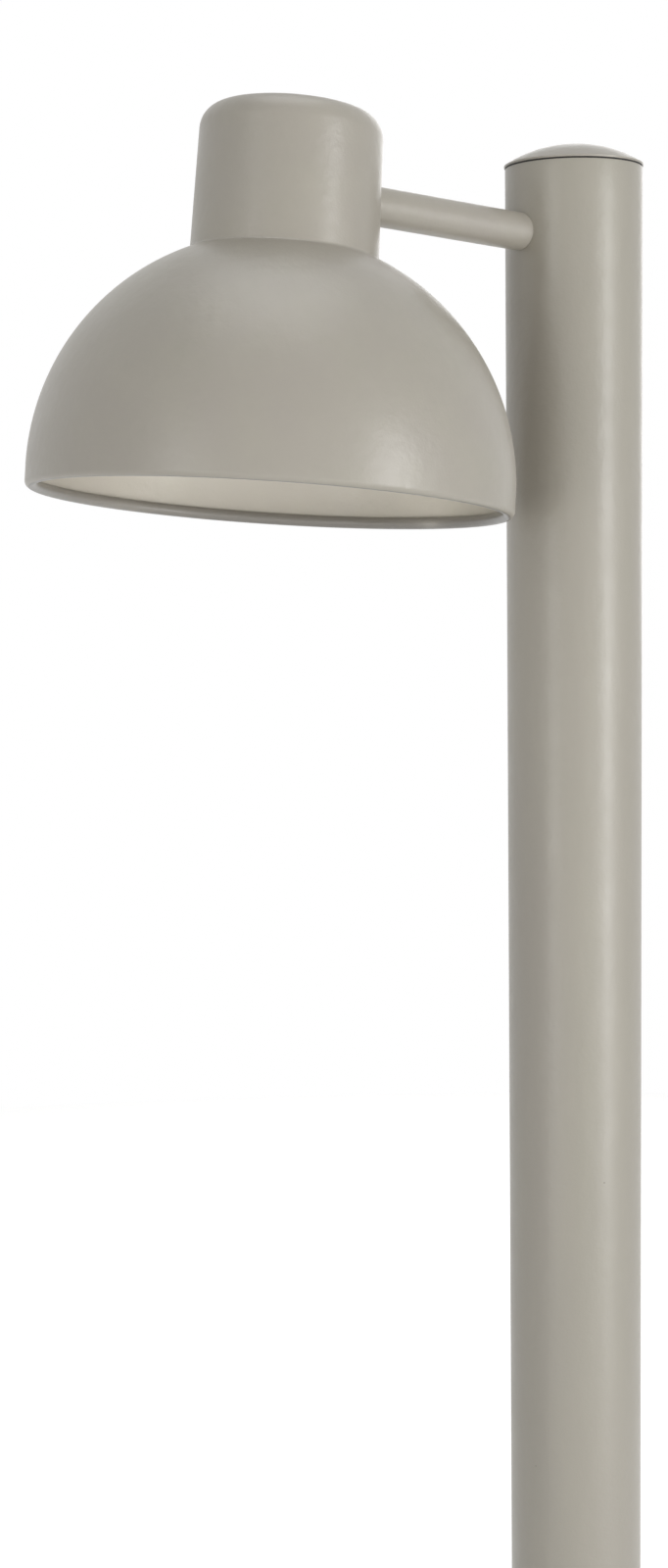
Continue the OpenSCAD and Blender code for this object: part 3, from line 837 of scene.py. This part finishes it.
@dataclass
class Arm:
    """The straight tube between post and shade, with the fixings in its two ends."""

    rise: float = math.radians(3.5)
    reach: float = 150.0 * MM
    height: float = 809.4 * MM
    hole: float = 5.3 * MM

    def point(self, along: float) -> Vector:
        """Place on the arm's axis at a distance from the post's axis."""
        return Vector((-along * math.cos(self.rise), 0.0, self.height + along * math.sin(self.rise)))

    def build(self, finishes: Finishes) -> None:
        """Dresses the arm and its fixings.

        Args:
            finishes: The light's finishes.
        """
        dress_nodes(("arm_tube",), finishes.arm)
        dress_nodes(("arm_insert_pole", "arm_insert_head", "pole_nipple", "pole_washer", "pole_nut",
                     "head_nipple", "head_washer", "head_nut"), finishes.zinc)
        dress_nodes(("pole_saddle", "neck_saddle"), finishes.cast)
        dress_nodes(("lamp_lead",), finishes.sleeve)


@dataclass
class Post:
    """The round post with its base plate, weld bead and domed cap."""

    arm: Arm
    radius: float = 30.0 * MM
    wall: float = 2.0 * MM
    height: float = 840.0 * MM
    plate: float = 8.0 * MM
    plate_radius: float = 80.0 * MM
    plate_chamfer: float = 1.0 * MM
    cable_hole: float = 25.0 * MM
    seat: float = 2.0 * MM
    touching: float = 0.05 * MM
    anchors: int = 4
    anchor_circle: float = 62.5 * MM
    anchor_hole: float = 5.5 * MM
    weld_leg: float = 5.0 * MM
    weld_bulge: float = 0.63 * MM
    weld_ripples: int = 132
    weld_ripple_steps: int = 3
    weld_ripple_size: Triple = (1.006, 1.006, 1.05)
    weld_foot: float = 0.08
    edge: float = 0.25 * MM
    seal: float = 0.6 * MM
    lip: float = 0.8 * MM
    lip_overhang: float = 0.4 * MM
    cap_rise: float = 8.6 * MM
    cap_wall: float = 2.5 * MM
    cap_edge: float = 0.2 * MM
    plug: float = 14.0 * MM
    plug_radius: float = 27.7 * MM
    plug_wall: float = 4.5 * MM
    groove_radius: float = 25.4 * MM
    groove_width: float = 2.6 * MM
    steps: int = 160
    axis: Axis = field(default_factory=lambda: Axis(Vector((0.0, 0.0, 0.0))))

    def tube(self) -> Piece:
        """Turns the post's tube, eases its top edge and drills the hole for the arm's nipple.

        Returns:
            The tube.
        """
        inner, low = self.radius - self.wall, self.plate - self.seat
        outside = line((self.radius, low), (self.radius, self.height - self.edge), 60)
        top = arc((self.radius - self.edge, self.height - self.edge), self.edge, 0, 90, 3)
        profile = outside + top + [(inner, self.height), (inner, low)]
        piece = turn_piece("post_skin", self.axis, profile, self.steps)
        drill(piece, self.arm.point(inner / 2), self.arm.point(self.radius + inner), self.arm.hole)
        return piece

    def base(self) -> Piece:
        """Turns the base plate with its chamfer and ring groove, and drills its anchor holes.

        Returns:
            The plate.
        """
        outer, top, chamfer = self.plate_radius, self.plate, self.plate_chamfer
        groove = (self.radius + self.touching, self.radius - self.wall - self.touching)
        low = top - self.seat
        profile = [(self.cable_hole, 0.0), (outer, 0.0), (outer, top - chamfer), (outer - chamfer, top),
                   (groove[0], top), (groove[0], low), (groove[1], low), (groove[1], top),
                   (self.cable_hole, top)]
        piece = turn_piece("base_skin", self.axis, profile, self.steps)
        for i in range(self.anchors):
            turn = math.tau * (i + 0.5) / self.anchors
            foot = Vector((math.cos(turn), math.sin(turn), 0.0)) * self.anchor_circle
            drill(piece, foot - self.axis.up * top, foot + self.axis.up * 2 * top, self.anchor_hole)
        return piece

    def weld(self) -> Piece:
        """Turns the weld bead with a round face and raises its ripples.

        Returns:
            The bead.
        """
        inner = self.radius + self.touching
        leg = self.weld_leg
        flat = line((inner + leg, self.plate), (inner, self.plate + leg), 8)
        bulges = [self.weld_bulge * math.sin(math.pi * i / 8) for i in range(9)]
        profile = [(inner, self.plate)] + [(r + out, z + out) for (r, z), out in zip(flat, bulges)]
        steps = self.weld_ripple_steps * self.weld_ripples
        piece = turn_piece("weld_skin", self.axis, profile, steps, corner=Corner.SOFT)
        foot = leg * self.weld_foot
        ridge = [v.index for v in piece.data.vertices
                 if round(math.atan2(v.co.y, v.co.x) / math.tau * steps) % self.weld_ripple_steps == 0
                 and math.hypot(v.co.x, v.co.y) > inner + foot and v.co.z > self.plate + foot]
        push_out(piece, ridge, Vector((0.0, 0.0, self.plate)), self.weld_ripple_size)
        return piece

    def cap(self) -> Piece:
        """Turns the cap: a low hollow dome on a thin lip, over the grooved plug in the post.

        Returns:
            The cap.
        """
        low = self.height + self.seal
        lip_radius, rise, ease = self.radius + self.lip_overhang, self.cap_rise, self.cap_edge
        ball = (lip_radius ** 2 + rise ** 2) / (2 * rise)
        ball_height = low + self.lip + rise - ball
        lip_edge = math.degrees(math.acos(lip_radius / ball))
        dome = arc((0.0, ball_height), ball, 90, lip_edge, 40)
        lip = arc((lip_radius - ease, low + ease), ease, 0, -90, 3)
        bottom, middle, half = low - self.plug, low - self.plug / 2, self.groove_width / 2
        bore, ceiling = self.plug_radius - self.plug_wall, ball - self.cap_wall
        plug, groove = self.plug_radius, self.groove_radius
        under = [(plug, low), (plug, middle + half), (groove, middle + half), (groove, middle - half),
                 (plug, middle - half), (plug, bottom), (bore, bottom)]
        hollow = arc((0.0, ball_height), ceiling, math.degrees(math.acos(bore / ceiling)), 90, 16)
        return turn_piece("cap_skin", self.axis, dome + lip + under + hollow, self.steps, closed=False)

    def build(self, finishes: Finishes) -> None:
        """Makes and dresses the post's pieces.

        Args:
            finishes: The light's finishes.
        """
        settle(self.tube(), finishes.post, "post_paint", "pole_tube")
        settle(self.cap(), finishes.arm, "post_paint", "pole_cap")
        settle(self.base(), finishes.arm, "post_paint", "base_plate")
        settle(self.weld(), finishes.arm, "post_paint", "base_weld")
        dress_nodes(("cap_seal", "cap_o_ring"), finishes.rubber)


@dataclass
class Shade:
    """The spun shade: a drafted neck with a round shoulder, a dome, a skirt and a curled hem."""

    arm: Arm
    lean: float = math.radians(5.0)
    wall: float = 1.5 * MM
    neck: float = 37.8 * MM
    draft: float = math.radians(1.5)
    top: float = 32.0 * MM
    shoulder: float = 10.0 * MM
    fillet: float = 1.5 * MM
    dome: float = 100.0 * MM
    dome_height: float = -118.5 * MM
    skirt: float = 7.5 * MM
    hem: float = 2.5 * MM
    steps: int = 224

    def axis(self) -> Axis:
        """The shade's own axis, with height 0 where the arm's axis meets it."""
        return Axis(self.arm.point(self.arm.reach), self.lean)

    def skin(self, inset: float) -> Profile:
        """One side of the wall, from the middle of the top down to the end of the dome.

        Args:
            inset: Depth below the outer side.

        Returns:
            The profile's points.
        """
        slope, tilt = math.tan(self.draft), math.degrees(self.draft)
        radius = self.neck - inset / math.cos(self.draft)
        top, corner = self.top - inset, self.shoulder - inset
        corner_z = top - corner
        corner_x = radius - corner_z * slope - corner / math.cos(self.draft)
        ball, hollow = self.dome - inset, self.fillet + inset
        base = radius + hollow / math.cos(self.draft)
        a, b = 1 + slope ** 2, -2 * (base * slope + self.dome_height)
        c = base ** 2 + self.dome_height ** 2 - (ball + hollow) ** 2
        hollow_z = (-b + math.sqrt(b * b - 4 * a * c)) / (2 * a)
        hollow_x = base - hollow_z * slope
        meets = math.degrees(math.atan2(hollow_z - self.dome_height, hollow_x))
        return (line((0.0, top), (corner_x, top), 8)
                + arc((corner_x, corner_z), corner, 90, tilt, 14)
                + arc((hollow_x, hollow_z), hollow, 180 + tilt, 180 + meets, 8)
                + arc((0.0, self.dome_height), ball, meets, 0, 60))

    def shell(self) -> Piece:
        """Turns the shade from its outer side, round the hem and up its inner side, and drills its neck.

        Returns:
            The shell.
        """
        inner = self.hem - self.wall
        centre = (self.dome - self.hem, self.dome_height - self.skirt + self.hem)
        curl = arc(centre, self.hem, 0, -270, 30) + arc(centre, inner, 90, 360, 20)
        profile = self.skin(0.0) + curl + list(reversed(self.skin(self.wall)))
        piece = turn_piece("shade_skin", self.axis(), profile, self.steps, closed=False)
        wall_at = self.arm.reach - self.neck
        clear = self.neck / 4
        drill(piece, self.arm.point(wall_at - clear), self.arm.point(wall_at + clear), self.arm.hole)
        return piece

    def build(self, finishes: Finishes) -> None:
        """Makes and dresses the shade."""
        settle(self.shell(), finishes.shade, "shade_paint", "shade")


@dataclass
class Lamp:
    """The lampholder on its bracket, with the collar, the glass jar and the bulb.

    Heights are counted along the shade's axis from where the arm's axis crosses it.
    """

    shade: Shade
    bore: float = 5.05 * MM
    holder_top: float = -14.0 * MM
    holder_radius: float = 22.0 * MM
    shoulder: float = -26.0 * MM
    skirt_radius: float = 19.6 * MM
    skirt_end: float = -49.0 * MM
    skirt_thread: float = 0.7 * MM
    holder_edge: float = 1.0 * MM
    cavity_radius: float = 14.5 * MM
    cavity_top: float = -18.0 * MM
    collar_hole: float = 19.9 * MM
    collar_flat: float = 26.6 * MM
    collar_radius: float = 40.7 * MM
    collar_wall: float = 2.5 * MM
    collar_slant: float = 1.0 * MM
    collar_seat: float = -38.0 * MM
    collar_end: float = -52.0 * MM
    collar_edge: float = 0.8 * MM
    collar_ribs: int = 48
    collar_rib_size: Triple = (1.015, 1.015, 1.0)
    jar_radius: float = 35.5 * MM
    jar_wall: float = 3.0 * MM
    jar_corner: float = 14.0 * MM
    jar_neck: float = 37.0 * MM
    jar_top: float = -39.5 * MM
    jar_neck_low: float = -50.5 * MM
    jar_neck_step: float = 1.5 * MM
    jar_edge: float = 1.0 * MM
    jar_thread: float = 1.2 * MM
    jar_thread_rise: float = 0.75 * MM
    jar_floor: float = -103.2 * MM
    bulb_radius: float = 22.5 * MM
    bulb_tip: float = -21.2 * MM
    bulb_end: float = -99.2 * MM
    bulb_cap: float = 13.2 * MM
    bulb_cap_low: float = -46.2 * MM
    bulb_thread: float = 1.1 * MM
    bulb_pip: Pair = (4.2 * MM, 4.6 * MM)
    bulb_pip_edge: float = 0.6 * MM
    bulb_cone: Pair = (11.8 * MM, 3.0 * MM)
    bulb_sleeve: Pair = (3.0 * MM, 2.6 * MM)
    bulb_thread_from: float = 3.4 * MM
    bulb_meets: float = 35.0
    bulb_neck_bend: float = 1.25
    steps: int = 128

    @staticmethod
    def thread(crest: float, depth: float, start: float, end: float, turns: int) -> Profile:
        """Round thread ridges down a profile, as rings.

        Args:
            crest: Radius of the ridges.
            depth: Depth of the hollows between them.
            start: Height of the first point.
            end: Height of the last point.
            turns: Number of ridges.

        Returns:
            The profile's points.
        """
        steps = 8 * turns
        return [(crest - depth * (0.5 + 0.5 * math.cos(math.tau * turns * i / steps)),
                 start + (end - start) * i / steps) for i in range(steps + 1)]

    def holder(self) -> Piece:
        """Turns the lampholder with its eased head, threaded skirt and cavity.

        Returns:
            The lampholder.
        """
        ease = self.holder_edge
        outside = [(self.bore, self.holder_top)]
        outside += arc((self.holder_radius - ease, self.holder_top - ease), ease, 90, 0, 5)
        outside += arc((self.holder_radius - ease / 2, self.shoulder + ease / 2), ease / 2, 0, -90, 4)
        skirt = self.thread(self.skirt_radius, self.skirt_thread, self.shoulder - ease,
                            self.skirt_end + ease, 7)
        rim = arc((self.cavity_radius + ease / 2, self.skirt_end + ease / 2), ease / 2, 270, 180, 4)
        inside = [(self.cavity_radius, self.cavity_top), (self.bore, self.cavity_top)]
        profile = outside + [(self.skirt_radius - ease, self.shoulder)] + skirt
        profile += [(self.skirt_radius - ease, self.skirt_end)] + rim + inside
        return turn_piece("holder_skin", self.shade.axis(), profile, self.steps, corner=Corner.SOFT)

    def collar(self) -> Piece:
        """Turns the cast collar with rounded corners and raises grip ribs round its skirt.

        Returns:
            The collar.
        """
        outer, wall, ease = self.collar_radius, self.collar_wall, self.collar_edge
        seat_radius = self.jar_radius - self.jar_wall
        top = [(self.collar_hole, self.shoulder), (self.collar_flat, self.shoulder)]
        side = arc((outer - 2 * ease, self.collar_seat + wall - 2 * ease), 2 * ease, 60, 0, 5)
        side += line((outer, self.collar_seat + wall - 3 * ease), (outer, self.collar_end + ease), 6)
        foot = arc((outer - ease, self.collar_end + ease), ease, 0, -90, 4)
        inside = [(outer - wall, self.collar_end), (outer - wall, self.collar_seat),
                  (seat_radius, self.collar_seat),
                  (self.collar_flat - self.collar_slant, self.shoulder - wall),
                  (self.collar_hole, self.shoulder - wall)]
        axis = self.shade.axis()
        steps = 4 * self.collar_ribs
        piece = turn_piece("collar_skin", axis, top + side + foot + inside, steps)
        ribbed = []
        for v in piece.data.vertices:
            place = v.co - axis.origin
            height = place.dot(axis.up)
            across, sideways = place.dot(axis.out), place.y
            turn = round(math.atan2(sideways, across) / math.tau * steps)
            if (turn % 4 < 2 and math.hypot(across, sideways) > outer - ease / 4
                    and self.collar_end + 2 * ease < height < self.collar_seat):
                ribbed.append(v.index)
        push_out(piece, ribbed, axis.point(0.0, self.collar_seat), self.collar_rib_size)
        return piece

    def jar(self) -> Piece:
        """Turns the glass jar: a thick flat bottom, a round lower edge and a threaded neck.

        Returns:
            The jar.
        """
        radius, wall, corner, ease = self.jar_radius, self.jar_wall, self.jar_corner, self.jar_edge
        low = self.jar_floor - wall
        outside = [(0.0, low)] + arc((radius - corner, low + corner), corner, -90, 0, 14)
        body = line((radius, low + corner), (radius, self.jar_neck_low - self.jar_neck_step), 8)
        neck = [(self.jar_neck - self.jar_thread / 2, self.jar_neck_low)]
        thread = self.thread(self.jar_neck + self.jar_thread_rise, self.jar_thread,
                             self.jar_neck_low + self.jar_thread / 3, self.jar_top - ease, 2)
        inner, bend = radius - wall, corner - wall
        lip = arc((inner + ease, self.jar_top - ease), ease, 90, 180, 5)
        hollow = line((inner, self.jar_top - 2 * ease), (inner, self.jar_floor + bend), 8)
        floor = arc((inner - bend, self.jar_floor + bend), bend, 0, -90, 12)
        profile = outside + body + neck + thread + lip + hollow + floor + [(0.0, self.jar_floor)]
        return turn_piece("jar_skin", self.shade.axis(), profile, self.steps, False, Corner.SOFT)

    def bulb(self) -> Piece:
        """Turns the bulb: its contact pip, its screw cap, a smooth neck and a round globe.

        Returns:
            The bulb.
        """
        radius, low, tip = self.bulb_cap, self.bulb_cap_low, self.bulb_tip
        pip = [(0.0, tip), (self.bulb_pip[0], tip), (self.bulb_pip[1], tip - self.bulb_pip_edge)]
        cone = [(self.bulb_cone[0], tip - self.bulb_cone[1])]
        cap = self.thread(radius, self.bulb_thread, tip - self.bulb_thread_from,
                          low + self.bulb_sleeve[0], 6)
        sleeve = [(radius, low + self.bulb_sleeve[1]), (radius, low)]
        globe = arc((0.0, self.bulb_end + self.bulb_radius), self.bulb_radius, self.bulb_meets, -90, 28)
        wider, higher = globe[0][0] - radius, globe[0][1] - low
        neck = [(radius + wider * t ** self.bulb_neck_bend, low + higher * t)
                for t in (i / 10 for i in range(1, 10))]
        profile = pip + cone + cap + sleeve + neck + globe
        return turn_piece("bulb_skin", self.shade.axis(), profile, self.steps, False, Corner.SOFT)

    def build(self, finishes: Finishes) -> None:
        """Makes and dresses the lamp's pieces.

        Args:
            finishes: The light's finishes.
        """
        settle(self.holder(), finishes.ivory, "holder_plastic", "lampholder")
        settle(self.collar(), finishes.cast, "cast", "glass_collar")
        settle(self.jar(), finishes.glass, "glass", "glass_jar")
        settle(self.bulb(), finishes.opal, "bulb", "bulb")
        dress_nodes(("lamp_bracket", "holder_nipple", "holder_nut"), finishes.zinc)
        dress_nodes(("collar_ring",), finishes.ivory)
        dress_nodes(("holder_shell", "holder_contact"), finishes.brass)
        dress_nodes(("jar_seal",), finishes.rubber)


@dataclass
class Terminals:
    """The strip inside the post with its terminal block, cable clamp and earth screw."""

    def build(self, finishes: Finishes) -> None:
        """Dresses the terminals.

        Args:
            finishes: The light's finishes.
        """
        dress_nodes(("terminal_strip", "terminal_screws", "block_screws", "cable_clamp", "clamp_screws",
                     "earth_washer"), finishes.zinc)
        dress_nodes(("terminal_block",), finishes.ivory)
        dress_nodes(("terminal_inserts", "earth_screw"), finishes.brass)


@dataclass(frozen=True)
class Camera:
    """The photograph's view, as a place, three turns, a focal length and a picture centre."""

    place: Triple = (-0.7662, -0.9288, 0.6471)
    yaw: float = math.radians(-35.56)
    pitch: float = math.radians(7.40)
    roll: float = math.radians(-0.61)
    focal_px: float = 2725.7
    centre_px: Pair = (399.9, 983.2)
    picture_px: tuple[int, int] = (682, 1600)
    sensor_mm: float = 36.0

    def build(self) -> Piece:
        """Makes the camera and sets it as the scene's.

        Returns:
            The camera.
        """
        level = Vector((math.cos(self.yaw), math.sin(self.yaw), 0.0))
        onward = Vector((-math.sin(self.yaw), math.cos(self.yaw), 0.0))
        ahead = onward * math.cos(self.pitch) - Vector((0.0, 0.0, math.sin(self.pitch)))
        above = level.cross(ahead)
        right = level * math.cos(self.roll) + above * math.sin(self.roll)
        up = above * math.cos(self.roll) - level * math.sin(self.roll)
        lens = bpy.data.cameras.new("view")
        width, height = self.picture_px
        lens.sensor_fit = "VERTICAL"
        lens.sensor_height = self.sensor_mm
        lens.lens = self.focal_px * self.sensor_mm / height
        lens.shift_x = -(self.centre_px[0] - width / 2) / height
        lens.shift_y = (self.centre_px[1] - height / 2) / height
        camera = bpy.data.objects.new("view", lens)
        turn = Matrix((right, up, -ahead)).transposed().to_4x4()
        camera.matrix_world = Matrix.Translation(Vector(self.place)) @ turn
        bpy.context.scene.collection.objects.link(camera)
        bpy.context.scene.camera = camera
        return camera


@dataclass(frozen=True)
class Softbox:
    """One area light, placed by its bearing from the camera's line of sight.

    Args:
        name: Name of the light.
        bearing: Angle in degrees from the camera's side, as seen from above.
        height: Height above the aim point.
        distance: Level distance from the aim point.
        size: Width and height of its face.
        power: Power in watts.
        gleams: Whether it shows in glossy reflections.
        aim: Point in the frame that it faces.
    """

    name: str
    bearing: float
    height: float
    distance: float
    size: Pair
    power: float
    gleams: bool = True
    aim: Triple = (-0.08, 0.0, 0.72)

    def build(self, view: Vector) -> None:
        """Places the light so that it faces its aim point.

        Args:
            view: Place of the camera.
        """
        aim = Vector(self.aim)
        sight = view - aim
        turn = math.radians(self.bearing) + math.atan2(sight.y, sight.x)
        place = aim + Vector((math.cos(turn) * self.distance, math.sin(turn) * self.distance, self.height))
        light = bpy.data.lights.new(self.name, "AREA")
        light.shape = "RECTANGLE"
        light.size, light.size_y = self.size
        light.energy = self.power
        box = bpy.data.objects.new(self.name, light)
        box.location = place
        box.rotation_euler = (aim - place).to_track_quat("-Z", "Y").to_euler()
        box.visible_camera = False
        box.visible_glossy = self.gleams
        bpy.context.scene.collection.objects.link(box)


@dataclass
class Studio:
    """White floor and surroundings, soft lights and the camera."""

    floor_radius: float = 2.4
    floor_glow: float = 0.7
    floor_stains: float = 3.0
    floor_tones: tuple[Triple, Triple] = ((0.80, 0.80, 0.80), (0.83, 0.83, 0.83))
    daylight: float = 0.22
    daylight_tone: tuple[float, float, float, float] = (1.0, 0.99, 0.97, 1.0)
    softboxes: tuple[Softbox, ...] = (
        Softbox("key", 57.0, -0.03, 1.9, (0.34, 1.3), 11.5),
        Softbox("key_edge", 72.0, -0.10, 1.9, (0.5, 1.1), 1.0),
        Softbox("fill", -38.0, -0.02, 1.9, (0.30, 1.4), 3.6),
        Softbox("front_right", 30.0, -0.47, 2.4, (1.6, 0.5), 10.0, gleams=False),
        Softbox("front_left", -20.0, -0.47, 2.4, (1.6, 0.5), 8.0, gleams=False),
        Softbox("back", 165.0, 0.58, 2.2, (1.4, 1.4), 9.0),
        Softbox("top", 0.0, 1.88, 0.05, (1.4, 1.4), 8.5),
        Softbox("shade_fill", 0.0, -0.115, 0.002, (0.13, 0.13), 0.12, gleams=False, aim=(-0.157, 0.0, 0.8)),
    )

    @staticmethod
    def seen(tree: Tree) -> Socket:
        """Value that is 1 for rays from the camera, from a gloss or through glass, and 0 for light.

        Args:
            tree: Tree that the nodes go into.

        Returns:
            The value.
        """
        path = add_node(tree, "ShaderNodeLightPath").outputs
        either = compute(tree, "MAXIMUM", path["Is Camera Ray"], path["Is Transmission Ray"])
        return compute(tree, "MAXIMUM", either, path["Is Glossy Ray"])

    def floor(self) -> Piece:
        """A large round floor whose white reads as the photograph's and still takes a shadow.

        Returns:
            The floor.
        """
        deselect_all()
        bpy.ops.mesh.primitive_circle_add(vertices=96, radius=self.floor_radius, fill_type="NGON")
        ground = bpy.context.object
        ground.name = "floor"
        shader = Shader("floor_white")
        stains = add_node(shader.tree, "ShaderNodeTexNoise")
        feed(shader.tree, stains.inputs["Scale"], self.floor_stains)
        feed(shader.tree, stains.inputs["Vector"], shader.place())
        glow = compute(shader.tree, "MULTIPLY", self.seen(shader.tree), self.floor_glow)
        shader.set(base_color=shader.blend(stains.outputs["Fac"], *self.floor_tones), roughness=0.9,
                   specular_ior_level=0.1, emission_color=WHITE, emission_strength=glow)
        ground.data.materials.append(shader.material)
        return ground

    def world(self) -> None:
        """White for the camera and for reflections' background, dimmer as a light on the object."""
        world = bpy.data.worlds.new("surroundings")
        bpy.context.scene.world = world
        world.use_nodes = True
        tree = world.node_tree
        tree.nodes.clear()
        mix = add_node(tree, "ShaderNodeMixShader")
        feed(tree, mix.inputs["Fac"], self.seen(tree))
        for target, tone, strength in ((mix.inputs[1], self.daylight_tone, self.daylight),
                                       (mix.inputs[2], WHITE, 1.0)):
            background = add_node(tree, "ShaderNodeBackground")
            feed(tree, background.inputs["Color"], tone)
            feed(tree, background.inputs["Strength"], strength)
            feed(tree, target, background.outputs["Background"])
        output = add_node(tree, "ShaderNodeOutputWorld")
        feed(tree, output.inputs["Surface"], mix.outputs["Shader"])

    def build(self, view: Camera) -> None:
        """Sets up the whole studio.

        Args:
            view: The camera to make.
        """
        bpy.context.scene.view_settings.view_transform = "Standard"
        self.floor()
        self.world()
        camera = view.build()
        for box in self.softboxes:
            box.build(camera.location)


def main() -> None:
    """Builds and dresses the light, then its studio."""
    logging.basicConfig(level=logging.INFO, format="%(name)s: %(message)s")
    arm = Arm()
    shade = Shade(arm)
    finishes = Finishes(shade.axis())
    for part in (Post(arm), arm, shade, Lamp(shade), Terminals()):
        part.build(finishes)
    Studio().build(Camera())


if __name__ == "__main__":
    main()
